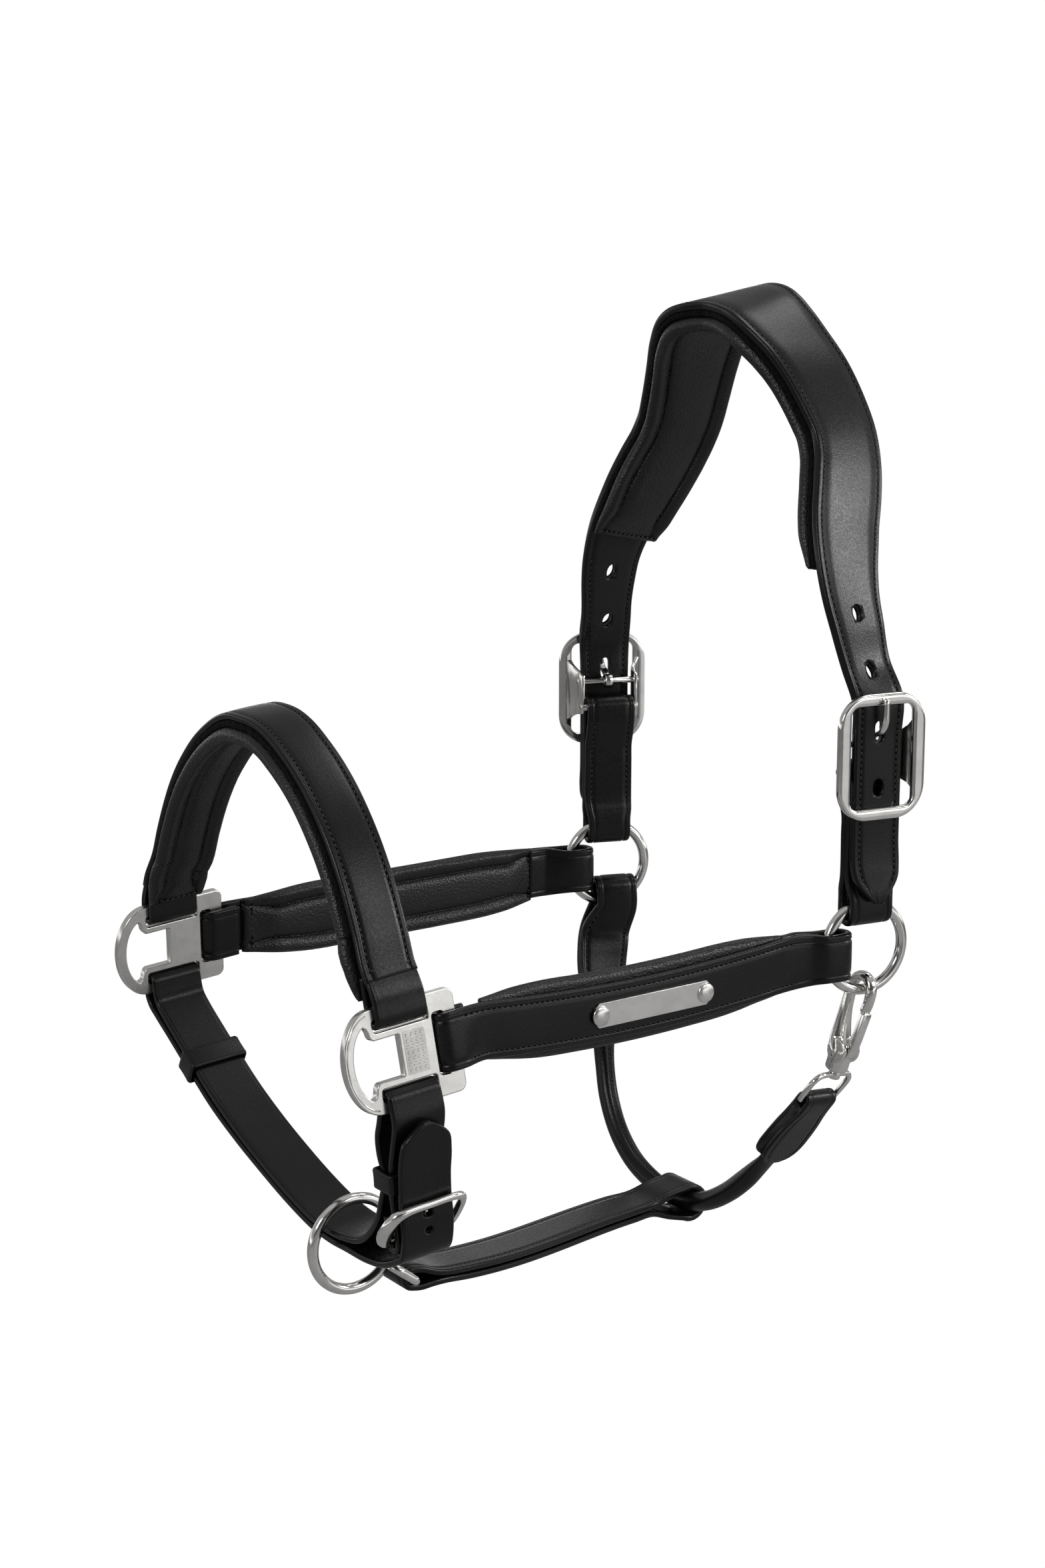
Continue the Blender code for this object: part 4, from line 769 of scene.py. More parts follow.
def puff(verts, faces, path, start, thick):
    """Let a cloth simulation fill the pad, and carry its soft unevenness over to the detailed mesh."""
    shell = tool_object(verts, faces)
    remesh = shell.modifiers.new("remesh", "REMESH")
    remesh.mode, remesh.voxel_size = "VOXEL", PUFF_VOXEL
    shell.data = evaluated_mesh(shell)
    shell.modifiers.clear()
    before = np.array([v.co[:] for v in shell.data.vertices])
    cloth = shell.modifiers.new("cloth", "CLOTH")
    cloth.settings.use_pressure = True
    cloth.settings.uniform_pressure_force = PUFF_PRESSURE
    cloth.settings.effector_weights.gravity = 0.0
    cloth.settings.quality = 5
    cloth.point_cache.frame_start, cloth.point_cache.frame_end = 1, PUFF_FRAMES
    scene = bpy.context.scene
    for step in range(1, PUFF_FRAMES + 1):
        scene.frame_set(step)
    graph = bpy.context.evaluated_depsgraph_get()
    after = np.array([v.co[:] for v in shell.evaluated_get(graph).data.vertices])
    scene.frame_set(1)
    move = (after - before) / MM
    move -= move.mean(axis=0)
    size = np.linalg.norm(move, axis=1)
    move *= (np.minimum(size, PUFF_MOST) / np.maximum(size, 1e-6))[:, None]
    tree, stations = tree_of(before), tree_of(path.c)
    out = np.array(verts)
    shifts = np.zeros(len(out))
    for n, p in enumerate(out):
        found = tree.find_n(Vector(p * MM), 6)
        weights = np.array([1 / (d + 1e-5) for _, _, d in found])
        shift = sum(move[j] * w for (_, j, _), w in zip(found, weights)) / weights.sum()
        i = stations.find(Vector(p))[1]
        shifts[n] = float(np.dot(shift, path.through[i]))
    shifts -= np.median(shifts)
    for n, p in enumerate(np.array(out)):
        i = stations.find(Vector(p))[1]
        depth = float(np.dot(p - path.c[i], path.through[i])) - start
        free = min(max(depth / thick, 0.0), 1.0)
        out[n] = p + path.through[i] * (np.clip(shifts[n], -PUFF_LIMIT, PUFF_LIMIT) * free)
    bpy.data.objects.remove(shell)
    return out


# ---------------------------------------------------------------- metal shapes

def tube_rings(points, radii, count, guide, flatten=None, closed=False):
    points = [np.asarray(p, dtype=float) for p in points]
    rings = []
    n = len(points)
    for i, centre in enumerate(points):
        if closed:
            along = unit(points[(i + 1) % n] - points[i - 1])
        else:
            along = unit(points[min(i + 1, n - 1)] - points[max(i - 1, 0)])
        a = unit(guide - along * np.dot(guide, along))
        b = np.cross(along, a)
        ra = radii[i] if hasattr(radii, "__len__") else radii
        rb = ra if flatten is None else flatten[i]
        rings.append([centre + a * ra * math.cos(t) + b * rb * math.sin(t)
                      for t in whole_turn(count)])
    return rings


def torus(frame_, radius, wire):
    points = [frame_.at(radius * math.cos(t), 0, radius * math.sin(t)) for t in whole_turn(96)]
    return loft(tube_rings(points, wire, 18, frame_.v, closed=True), closed=True)


def slab(outlines, frame_, low, high, bevel):
    """Bevelled plate with holes: the first (w, k) outline is its edge, the others its openings."""
    curve = bpy.data.curves.new("slab", "CURVE")
    curve.dimensions, curve.fill_mode = "2D", "BOTH"
    curve.extrude = (high - low) / 2 - bevel
    curve.bevel_depth, curve.bevel_resolution, curve.offset = bevel, 3, -bevel
    for outline in outlines:
        spline = curve.splines.new("POLY")
        spline.points.add(len(outline) - 1)
        for point, (w, k) in zip(spline.points, outline):
            point.co = (w, k, 0, 1)
        spline.use_cyclic_u = True
    made = bpy.data.objects.new("slab", curve)
    bpy.context.collection.objects.link(made)
    mesh = evaluated_mesh(made)
    work = bmesh.new()
    work.from_mesh(mesh)
    bmesh.ops.remove_doubles(work, verts=work.verts, dist=0.002)
    middle = (low + high) / 2
    verts = [frame_.at(v.co.x, middle + v.co.z, v.co.y) for v in work.verts]
    work.verts.index_update()
    faces = [tuple(v.index for v in f.verts) for f in work.faces]
    work.free()
    bpy.data.objects.remove(made)
    return np.array(verts), faces


def shade_by_angle(piece, angle):
    """Keep crisp edges on plates and arms while their bevels stay smooth."""
    work = bmesh.new()
    work.from_mesh(piece.data)
    for e in work.edges:
        e.smooth = len(e.link_faces) == 2 and e.calc_face_angle(0) < math.radians(angle)
    work.to_mesh(piece.data)
    work.free()


def flat_faces(piece, axis):
    """Shade the faces that look along the axis as true flats, beside their rounded edges."""
    for face in piece.data.polygons:
        if abs(np.dot(face.normal, axis)) > 0.9995:
            face.use_smooth = False


def round_rod(start, end, radius, ease=0.4, count=20):
    """A rod with eased ends."""
    start, end = np.asarray(start, dtype=float), np.asarray(end, dtype=float)
    along = unit(end - start)
    rows = [(start, radius - ease), (start + along * ease * 0.4, radius - ease * 0.35),
            (start + along * ease, radius), (end - along * ease, radius),
            (end - along * ease * 0.4, radius - ease * 0.35), (end, radius - ease)]
    guide = X_AXIS if abs(along[0]) < 0.8 else Z_AXIS
    return loft(tube_rings([r[0] for r in rows], [r[1] for r in rows], count, guide))


# ---------------------------------------------------------------- cheekpieces, buckles and rings

def build_cheekpiece(side):
    ring = ring_frame(side)
    name, mid = f"{SIDES[side]}_cheekpiece", 54.0
    bar = BAR_RADIUS + GAP + LEATHER / 2
    inner = 3.1 + LEATHER / 2

    def bow(centre, radius, start, end):
        return [(centre[0] + radius * math.cos(t), centre[1] + radius * math.sin(t))
                for t in arc(start, end, 10)]

    path = [(-1.85, mid, STRAP_HALF), (-1.85, 34, STRAP_HALF), (-3.6, 28, 12.0), (-inner, 23.5, LOOP_HALF)]
    path += [(v, k, LOOP_HALF) for v, k in bow((0, 16.9), inner, 180, 360)]
    path += [(inner, 23.5, LOOP_HALF), (3.6, 28, 12.0), (1.85, 34, STRAP_HALF), (1.75, mid, STRAP_HALF)]
    path += [(v, k, STRAP_HALF) for v, k in bow((BAR_V, BAR_HEIGHT), bar, 0, 180)]
    path += [(BAR_V - bar, 77, STRAP_HALF), (-4.2, 69, STRAP_HALF), (-1.85, 62, STRAP_HALF)]
    band = ring_path([(ring.at(0, v, k), ring.w, h, LEATHER) for v, k, h in path], 1.2)
    strap(name + "_leather", band, BRIDLE, "headpiece", [name], closed=True)
    height = band.c[:, 2] - RING_CENTRE[2]
    out = (band.c - ring.origin) @ ring.v
    middle = (height > 33) & (height < 75)
    places = facing(band, middle & (out < 0), -ring.v) + facing(band, middle & (out > 0), ring.v)
    sew(name + "_stitching", places, "headpiece", name)


def build_buckle(side):
    ring = ring_frame(side)
    name = f"{SIDES[side]}_buckle"
    section = [(0.0, 8.6), (0.0, 10.1), (0.25, 10.65), (0.7, 11.0), (1.4, 11.2), (3.4, 11.2), (4.9, 11.1),
               (5.6, 10.95), (6.05, 10.6), (6.3, 10.1), (6.35, 9.2), (6.25, 8.5), (5.9, 8.2), (3.2, 8.2),
               (0.6, 8.2), (0.15, 8.3)]
    rings = []
    for inset, v in section:
        share = inset / 6.35
        width, height = 46 - 12.7 * share, 58 - 11.2 * share
        loop = rounded_rectangle(width, height, 15.5 - 11.6 * share, 12)
        rings.append([ring.at(w, v, k + FRAME_HEIGHT) for w, k in loop])
    parts = [loft(rings, closed=True)] + [arm(ring, sign) for sign in (-1, 1)]
    parts.append(round_rod(ring.at(-15.3, BAR_V, BAR_HEIGHT), ring.at(15.3, BAR_V, BAR_HEIGHT), BAR_RADIUS))
    piece = add(name + "_metal", *merge(parts), NICKEL, "headpiece", [name + "_frame"])
    shade_by_angle(piece, 42)
    rod = round_rod(ring.at(-16.3, PIN_V, PIN_HEIGHT), ring.at(16.3, PIN_V, PIN_HEIGHT), PIN_RADIUS)
    pin = add(name + "_bar", *rod, NICKEL, "headpiece", [name + "_pin"])
    shade_by_angle(pin, 50)
    build_tongue(side, ring)


def arm(ring, sign):
    """One cast post of a buckle: long where it grows from the frame's side, and narrow at its two bars."""
    rings = []
    for v, middle, low, high, thick in (
            (-3.6, 14.1, 79.9, 98.6, 1.2), (-3.2, 14.1, 79.3, 99.2, 1.8), (1.5, 14.2, 78.4, 100.4, 2.0),
            (4.6, 15.0, 78.0, 101.4, 2.0), (7.0, 16.8, 76.6, 103.6, 2.2), (8.9, 18.6, 74.0, 107.0, 3.0)):
        outline = rounded_rectangle(thick, high - low, 0.6, 3)
        rings.append([ring.at(sign * (middle + w), v, (low + high) / 2 + k) for w, k in outline])
    return loft(rings)


def build_tongue(side, ring):
    name = f"{SIDES[side]}_buckle_tongue"
    rows = [(*ring.at(0, PIN_V + 1.6, 98.0), 1.75, 1.2), (*ring.at(0, PIN_V + 4.6, 99.6), 1.75, 1.25),
            (*ring.at(0, 9.6, 102.0), 1.8, 1.35), (*ring.at(0, 12.4, 106.5), 1.75, 1.3),
            (*ring.at(0, 12.95, 112.0), 1.6, 1.2), (*ring.at(0, 12.95, 116.2), 1.35, 1.05),
            (*ring.at(0, 12.9, 117.3), 0.9, 0.75), (*ring.at(0, 12.9, 117.7), 0.25, 0.2)]
    rows = smooth_points(rows, 0.6)
    blade = loft(tube_rings(rows[:, :3], rows[:, 3], 14, ring.w, rows[:, 4]))
    eye = eye_band(ring, PIN_V, PIN_HEIGHT, 2.15, 3.6, 1.9)
    add(name + "_metal", *merge([blade, eye]), NICKEL, f"{SIDES[side]}_tongue", [name])


def eye_band(frame_, v0, k0, inner, outer, half):
    """A rolled eye round a bar that runs along w."""
    profile = [(inner, -half), (inner, half), (inner + 0.3, half), (outer - 0.5, half),
               (outer - 0.12, half - 0.2), (outer, half - 0.6), (outer, -half + 0.6),
               (outer - 0.12, -half + 0.2), (outer - 0.5, -half),
               (inner + 0.3, -half)]
    rings = []
    for t in whole_turn(24):
        rings.append([frame_.at(w, v0 + r * math.cos(t), k0 + r * math.sin(t)) for r, w in profile])
    return loft(rings, closed=True)


# ---------------------------------------------------------------- noseband and its plates

NOSE_ARCH = [
    (-260.3, 0, -156.2), (-259.8, 11, -157.0), (-259.2, 22, -160.4), (-258.8, 33, -166.0),
    (-258.4, 44, -173.0), (-258.0, 54, -181.2), (-257.8, 63, -190.2), (-257.5, 71, -200.0),
    (-257.2, 78.2, -210.8), (-257.0, 84.8, -222.6), (-256.9, 91.0, -235.5),
]
NOSE_TILT = (7.0, 6.0, 5.0, 4.0, 3.5, 3.0, 3.0, 3.0, 3.5, 4.0, 4.5)
NOSE_FELT_END = -238.0
NOSE_PAD_TURN = -236.5
NOSE_PAD_TAIL = [(43.0, -9.0, 15.0), (38.5, -7.4, 14.9), (33.5, -6.4, 14.7), (29.0, -6.0, 14.2),
                 (24.6, -5.3, 13.2)]


def nose_side(side):
    """Rows of the noseband from its crown down to one plate."""
    rows = []
    for (x, y, z), tilt in zip(NOSE_ARCH, NOSE_TILT):
        t = math.radians(tilt)
        rows.append((vec(x, side * y, z), vec(math.cos(t), 0, math.sin(t)), STRAP_HALF, LEATHER))
    plate = plate_frame(side)
    face = WRAP + LEATHER / 2
    for v, k in ((face - 5.4, 38.0), (face - 3.4, 33.0)):
        rows.append((plate.at(STRAP_OFFSET, v, k), plate.w, STRAP_HALF, LEATHER))
    return rows


def nose_loop(side):
    """Rows of the short loop that comes from under the strap's end and goes round the plate's bar."""
    plate = plate_frame(side)
    points = [(-2.6, 40.0), (-0.4, 34.0), (1.9, 29.0), (3.4, 24.5)]
    points += [(WRAP * math.cos(t), BAR_WRAP_K + WRAP * math.sin(t)) for t in arc(10, -180, 10)]
    points += [(-WRAP, 23.0), (-WRAP, 28.0), (-WRAP, 34.0)]
    return [(plate.at(STRAP_OFFSET, v, k), plate.w, STRAP_HALF - 0.35, LEATHER - 0.4) for v, k in points]


def build_noseband():
    surface = dense(nose_side(NEAR)[::-1][:-1] + nose_side(FAR), 1.5)
    leather = surface.layer(LEATHER / 2, LEATHER)
    body = "noseband"
    parts, edges = [strap_mesh(leather, crown=0.3)], []
    for side in SIDES:
        parts.append(strap_mesh(dense(nose_loop(side), 1.2), sewn=False, crown=0.2))
    for _, _, worn in parts:
        edges += worn
    verts, faces = merge([part[:2] for part in parts])
    add("noseband_leather", verts, faces, BRIDLE, body, ["noseband_strap"], edge=edges)
    places = stitch_places(leather, STITCH_INSET, -1, 3.0, leather.s[-1] - 3.0)
    for end in (3.0, leather.s[-1] - 3.0):
        i = int(np.searchsorted(leather.s, end))
        for a in np.arange(-8.4, 8.5, PITCH):
            point = leather.at(i, a, -(LEATHER / 2 - 0.06))
            places.append((point, leather.across[i], leather.along[i], -leather.through[i]))
    sew("noseband_stitching", places, body, "noseband_strap")
    over = surface.c[:, 2] > NOSE_FELT_END + 2.5
    depth = LEATHER + GAP + FELT / 2
    welt(surface.part(over).layer(depth, FELT, 0.7), "noseband_welt", body, "noseband_felt")
    start = LEATHER + GAP + FELT + PAD_GAP - PAD_SINK
    over = surface.part(surface.c[:, 2] > NOSE_PAD_TURN).layer(start, 1.0, 2.7)
    rows = [(over.c[i], over.across[i], over.half[i], over.thick[i]) for i in range(0, len(over.s), 2)]
    tails = {}
    for side in SIDES:
        plate = plate_frame(side)
        tails[side] = [(plate.at(STRAP_OFFSET, v, k), plate.w, half, 1.0) for k, v, half in NOSE_PAD_TAIL]
    rail = dense(tails[NEAR][::-1] + rows + tails[FAR], 1.5)
    pad("noseband_cushion", rail, 0.0, NOSE_PAD, 0.0, body, "noseband_pad", 12.0)


def plate_edge():
    """A plate's outline: square at the strap end, with a half ellipse toward the nose."""
    def corner(cx, cy, start):
        return [(cx + 3.5 * math.cos(t), cy + 3.5 * math.sin(t)) for t in arc(start, start + 90, 6)]
    outline = corner(24.0, -18.5, -90) + corner(24.0, 18.5, 0)
    outline += [(-12.5 + 15.0 * math.cos(t), 22.0 * math.sin(t)) for t in arc(90, 270, 40)]
    return outline


def plate_window():
    """D-shaped window with a narrower square bay, and a horn where the two meet."""
    half = [(-0.9, 8.8), (-12.4, 8.8), (-13.4, 9.3), (-14.3, 10.6), (-14.7, 12.6), (-15.4, 14.4),
            (-16.6, 15.2)]
    bow = [(-13.4 + 9.6 * math.cos(t), 16.2 * math.sin(t)) for t in arc(114, 246, 26)]
    return [(-0.6, -8.4), (-0.6, 8.4)] + half + bow + [(w, -k) for w, k in half[::-1]]


def build_plate(side):
    plate = plate_frame(side)
    name = f"{SIDES[side]}_noseband_plate"
    slots = []
    for sign in (-1, 1):
        slots.append([(w + STRAP_OFFSET, k + sign * 14.35) for w, k in rounded_rectangle(26.4, 5.3, 1.2, 4)])
    slots.append([(w + 18.7, k) for w, k in rounded_rectangle(5.4, 26.4, 1.5, 4)])
    metal = slab([plate_edge(), plate_window()] + slots, plate, -2.0, 2.0, 0.55)
    piece = add(name + "_metal", *metal, PLATE_NICKEL, "noseband", [name])
    shade_by_angle(piece, 50)
    flat_faces(piece, plate.v)
    rim = smooth_points([plate.at(w, 1.85, k) for w, k in lens_rim()], 0.8)
    bead = loft(tube_rings(rim, 0.42, 8, plate.v))
    add(name + "_rim", *bead, NICKEL, "noseband", (), name)
    if side == NEAR:
        build_panel(plate, name)


def lens_rim():
    """Line of the fine raised bead round the curved end of a plate."""
    return [(-13.0 + 13.2 * math.cos(t), 20.0 * math.sin(t)) for t in arc(98, 262, 30)]


def build_panel(plate, name):
    """Raised textured panel on the plate's solid middle: a plain pattern of small blocks."""
    parts = []
    outline = rounded_rectangle(10.6, 18.4, 0.7, 3)
    parts.append(loft([[plate.at(w + 6.2, 1.9, k) for w, k in outline],
                       [plate.at(w * 0.985 + 6.2, 2.12, k * 0.99) for w, k in outline]]))
    for i in range(4):
        for j in range(7):
            w, k = 6.2 + (i - 1.5) * 2.35, (j - 3) * 2.45
            size = 1.55 + 0.35 * ((i * 3 + j * 5) % 3 - 1)
            block = rounded_rectangle(size, 1.6, 0.35, 2)
            parts.append(loft([[plate.at(w + a, 2.05, k + b) for a, b in block],
                               [plate.at(w + a * 0.8, 2.42, k + b * 0.8) for a, b in block]]))
    piece = add(name + "_panel", *merge(parts), CAST, "noseband", (), name)
    shade_by_angle(piece, 30)


# ---------------------------------------------------------------- cheek straps and nameplate

def cheek_frame(side):
    """Straight run of a cheek strap from its plate to its ring, and how long it is."""
    plate, ring = plate_frame(side), ring_frame(side)
    start, end = plate.at(37, 1.2, 0), ring.at(-36, 1.0, CHEEK_DROP)
    w = unit(end - start)
    v = side * Y_AXIS
    v = unit(v - w * np.dot(v, w))
    return Frame(start, w, v, side * np.cross(w, v)), np.linalg.norm(end - start)


def sag(side, share):
    return CHEEK_SAG[side] * math.sin(math.pi * min(max(share, 0), 1))


def build_cheek_strap(side):
    plate, ring = plate_frame(side), ring_frame(side)
    run, length = cheek_frame(side)
    inner = (3.3 if side == NEAR else 3.9) + LEATHER / 2
    rows = []

    def put(f, w, v, k, across, half):
        rows.append((f.at(w, v, k), across, half, LEATHER))

    for w in (34.0, 30.5, 27.0):
        put(plate, w, -WRAP, 0, plate.k, STRAP_HALF)
    for t in arc(270, 90, 10):
        put(plate, REAR_WRAP_W + WRAP * math.cos(t), WRAP * math.sin(t), 0, plate.k, STRAP_HALF)
    put(plate, 27.0, WRAP - 0.2, 0, plate.k, STRAP_HALF)
    for i in range(9):
        station = length * (i + 0.15) / 8.4
        put(run, station, 0, -sag(side, station / length), run.k, STRAP_HALF)
    put(ring, -29.5, 2.4, CHEEK_DROP, Z_AXIS, 11.9)
    put(ring, -23.5, inner, CHEEK_DROP, Z_AXIS, LOOP_HALF)
    for t in arc(90, -90, 10):
        put(ring, -14.6 + inner * math.cos(t), inner * math.sin(t), CHEEK_DROP, Z_AXIS, LOOP_HALF)
    put(ring, -23.5, -inner, CHEEK_DROP, Z_AXIS, LOOP_HALF)
    for back, drop in ((0.5, 1.0), (-4.0, GAP), (-10.0, GAP)):
        put(run, length + back, -LEATHER - drop, 0, run.k, STRAP_HALF)
    name = f"{SIDES[side]}_cheek_strap"
    band = dense(rows, 1.4)
    strap(name + "_leather", band, BRIDLE, "noseband", [name], crown=0.2)
    place = (band.c - run.origin) @ run.w
    keep = (place > -9) & (place < length - 3) & ((band.c - run.origin) @ run.v > -CHEEK_SAG[side] - 1.0)
    sew(name + "_stitching", facing(band, keep, run.v), "noseband", name)
    if side == NEAR:
        build_nameplate(run, length)
    rows = [(1.2, 13.0), (7.0, 13.7), (15.0, 14.8), (25.0, 16.0), (38.0, 16.9)]
    rows += [(38.0 + (length - 82.0) * i / 5, 17.0) for i in range(1, 5)]
    rows += [(length - 44.0, 16.9), (length - 31.0, 16.2), (length - 19.0, 15.0), (length - 8.0, 13.6)]
    back = -(LEATHER / 2 + 0.25)
    rail = dense([(run.at(s, back, -sag(side, s / length)), run.k * side, h, 1.0) for s, h in rows], 1.5)
    if np.dot(rail.through[5], run.v) > 0:
        rail.through, rail.across = -rail.through, -rail.across
    cheek = f"{SIDES[side]}_cheek"
    pad(cheek + "_cushion", rail, 0.0, CHEEK_PAD, 0.0, "noseband", cheek + "_pad", 20.0)


def build_nameplate(run, length):
    base = Frame(run.at(length * 0.53 - 3.0, 0, -sag(NEAR, 0.53)), run.w, run.v, run.k)
    notch, half_l, half_h = 1.8, 32.0, 5.5
    outline = [(half_l, half_h - notch), (half_l - notch, half_h)]
    outline += [(-w, k) for w, k in outline[::-1]]
    outline += [(-w, -k) for w, k in outline]
    low = LEATHER / 2 + 0.25
    metal = slab([outline], base, low, low + 1.1, 0.22)
    plate = add("nameplate_metal", *metal, BRUSHED, "noseband", ["nameplate"])
    shade_by_angle(plate, 50)
    flat_faces(plate, base.v)
    for sign, label in ((-1, "front"), (1, "rear")):
        profile = [(low + 0.8, 4.3), (low + 1.15, 4.55), (low + 1.45, 4.5)]
        profile += [(low + 1.45 + 1.5 * math.sin(t), 4.5 * math.cos(t)) for t in arc(8, 86, 9)]
        rings = []
        for v, radius in profile:
            rings.append([base.at(sign * 29.5 + radius * math.cos(t), v, radius * math.sin(t))
                          for t in whole_turn(36)])
        node_name = f"nameplate_rivet_{label}"
        add(node_name + "_metal", *loft(rings), PLATE_NICKEL, "noseband", [node_name])


# ---------------------------------------------------------------- chin strap, buckle and keepers

def chin_frame():
    plate = plate_frame(FAR)
    up = np.cross(plate.w, Y_AXIS)
    origin = plate.at(STRAP_OFFSET, 0, -19.5)
    origin[1] = 0
    return Frame(origin + up * (-origin[2] / up[2]), plate.w, Y_AXIS, up)


def chin_point(plane, y, z):
    return plane.at(0, y, z / plane.k[2])


CHIN_UPPER = [
    (-98.2, -312), (-95.6, -319), (-95.8, -327), (-98.0, -334), (-97.2, -340), (-93.8, -348), (-89.6, -357),
    (-82.0, -366), (-72.0, -373), (-58.0, -376.2), (-46.0, -377.0), (-32.0, -375.6), (-12.0, -370.4),
    (10.0, -362.6),
    (32.0, -353.4), (52.0, -343.2), (68.0, -333.0), (84.0, -322.2), (94.0, -315.0), (99.6, -309.6),
]
CHIN_LOWER = [
    (109.6, -307.5), (107.4, -312.5), (101.6, -316.8), (90.0, -324.4), (70.4, -337.6), (54.0, -348.0),
    (33.4, -357.8), (11.4, -366.4), (-11.0, -374.2), (-32.0, -379.6), (-46.0, -381.0), (-60.0, -380.6),
    (-76.0, -380.2),
    (-90.0, -377.8), (-101.4, -372.8), (-106.4, -369.6), (-108.9, -363.6), (-110.2, -355.0), (-110.0, -346.5),
    (-111.0, -336.0), (-113.2, -325.0), (-114.8, -317.0), (-115.4, -312.6), (-115.7, -309.8),
]
CHIN_TIP = {-325.0: 12.5, -317.0: 11.0, -312.6: 6.4, -309.8: 1.8}
CHIN_BUCKLE_LAYER = [
    (-110.4, -308.5), (-109.8, -313.0), (-107.4, -320.5), (-104.2, -331.0), (-102.9, -340.0),
    (-103.4, -350.0),
]


def build_chin_strap():
    plane = chin_frame()

    def row(y, z, half=STRAP_HALF):
        return (chin_point(plane, y, z), plane.w, half, CHIN_LEATHER)

    def plate_wrap(side, start, end):
        plate = plate_frame(side)
        return [(plate.at(STRAP_OFFSET, WRAP * math.cos(t), -BAR_WRAP_K + WRAP * math.sin(t)), plate.w,
                 STRAP_HALF, CHIN_LEATHER) for t in arc(start, end, 10)]

    bar_y, bar_z = CHIN_BAR
    reach = BAR_RADIUS + GAP + CHIN_LEATHER / 2
    rows = [row(bar_y + reach - 0.3, bar_z + 10.0), row(bar_y + reach, bar_z + 4.5)]
    for t in arc(0, -180, 10):
        rows.append(row(bar_y + reach * math.cos(t), bar_z + reach * math.sin(t)))
    rows += [row(y, z) for y, z in CHIN_BUCKLE_LAYER[::-1]]
    rows += plate_wrap(NEAR, 0, 180)
    rows += [row(y, z) for y, z in CHIN_UPPER]
    rows += plate_wrap(FAR, 180, 0)
    rows += [row(y, z, CHIN_TIP.get(z, STRAP_HALF)) for y, z in CHIN_LOWER]
    band = dense(rows, 1.5)
    piece = strap("chin_strap_leather", band, CHIN_HIDE, "noseband", ["chin_strap"], sewn=False)
    centre = chin_point(plane, -110.0, -358.6)
    tools = [punch(centre - Y_AXIS * 3.2, centre + Y_AXIS * 3.2, 1.9)]
    tip = Frame(chin_point(plane, -110.1, -350.2), plane.w, -Y_AXIS, plane.k)
    slot = [(w, k * 0.42) for w, k in rounded_rectangle(4.6, 12.0, 1.8, 4)]
    tools.append(tool_object(*loft([[tip.at(w, v, k) for w, k in slot] for v in (-2.6, 2.6)])))
    bar = Frame(chin_point(plane, bar_y, bar_z), plane.w, -Y_AXIS, plane.k)
    slot = rounded_rectangle(4.8, 12.6, 1.8, 4)
    tools.append(tool_object(*loft([[bar.at(w, v, k) for w, k in slot] for v in (-7.0, 6.4)])))
    cut(piece, tools)


def chin_buckle_frame():
    plane = chin_frame()
    rear, front = chin_point(plane, *CHIN_BAR), chin_point(plane, *CHIN_FRONT_BAR)
    k = unit(front - rear)
    return Frame(rear, plane.w, np.cross(k, plane.w), k), np.linalg.norm(front - rear)


def build_chin_buckle():
    """Swelled buckle: thin bars, and a fat flattened end that sweeps round toward the nose."""
    f, span = chin_buckle_frame()
    control = [(-12.5, 0, 2.0, 2.0), (0, 0, 2.0, 2.0), (12.5, 0, 2.0, 2.0), (15.6, 1.4, 2.0, 2.0),
               (17.0, 5.0, 1.9, 1.9), (17.2, span - 5, 1.8, 1.8), (15.6, span - 1.2, 1.7, 1.8),
               (12.5, span, 1.6, 1.8), (0, span, 1.6, 1.7), (-10.0, span, 1.8, 1.9),
               (-15.0, span - 1.4, 2.3, 2.5), (-17.4, span - 5.5, 2.5, 3.3),
               (-18.2, span / 2, 2.5, 4.0), (-17.6, 5.5, 2.4, 3.4), (-15.6, 1.6, 2.2, 2.5)]
    rows = smooth_points([(*f.at(w, 0, k), a, b) for w, k, a, b in control], 0.8, closed=True)
    rings = tube_rings(rows[:, :3], rows[:, 3], 18, f.v, rows[:, 4], closed=True)
    add("chin_buckle_metal", *loft(rings, closed=True), NICKEL, "chin_buckle", ["chin_buckle_frame"])
    plane = chin_frame()
    places = [(-103.4, -362.6, 1.5, 0.9), (-106.2, -360.0, 1.5, 0.9), (-106.8, -355.0, 1.4, 0.85),
              (-107.6, -351.6, 1.3, 0.85), (-110.6, -350.2, 0.9, 0.7)]
    rows = smooth_points([(*chin_point(plane, y, z), a, b) for y, z, a, b in places], 0.6)
    blade = loft(tube_rings(rows[:, :3], rows[:, 3], 12, plane.w, rows[:, 4]))
    eye = eye_band(f, 0, 0, 2.35, 3.6, 1.8)
    add("chin_tongue_metal", *merge([blade, eye]), NICKEL, "chin_tongue", ["chin_buckle_tongue"])


def build_keeper(name, body, centre, along, half_depth, height):
    """Leather keeper: a rounded band with soft corners, slightly waisted."""
    plane = chin_frame()
    along = unit(along)
    f = Frame(centre, plane.w, along, unit(np.cross(along, plane.w)))
    rows = []
    profile = [(0.0, -0.9), (0.0, 0.9), (0.25, 1.04), (0.7, 1.08), (1.25, 1.02), (1.6, 0.84), (1.5, 0.6),
               (1.45, 0.0), (1.5, -0.6), (1.6, -0.84), (1.25, -1.02), (0.7, -1.08), (0.25, -1.04)]
    for inset, v in profile:
        width = 2 * (STRAP_HALF + 0.55 + inset * 0.95)
        depth = 2 * (half_depth - 0.05 + inset)
        loop = rounded_rectangle(width, depth, 0.7 + inset * 0.75, 6)
        rows.append([f.at(w, v * (height / 2 - 0.35), k) for w, k in loop])
    add(name + "_leather", *loft(rows, closed=True), CHIN_HIDE, body, [name])


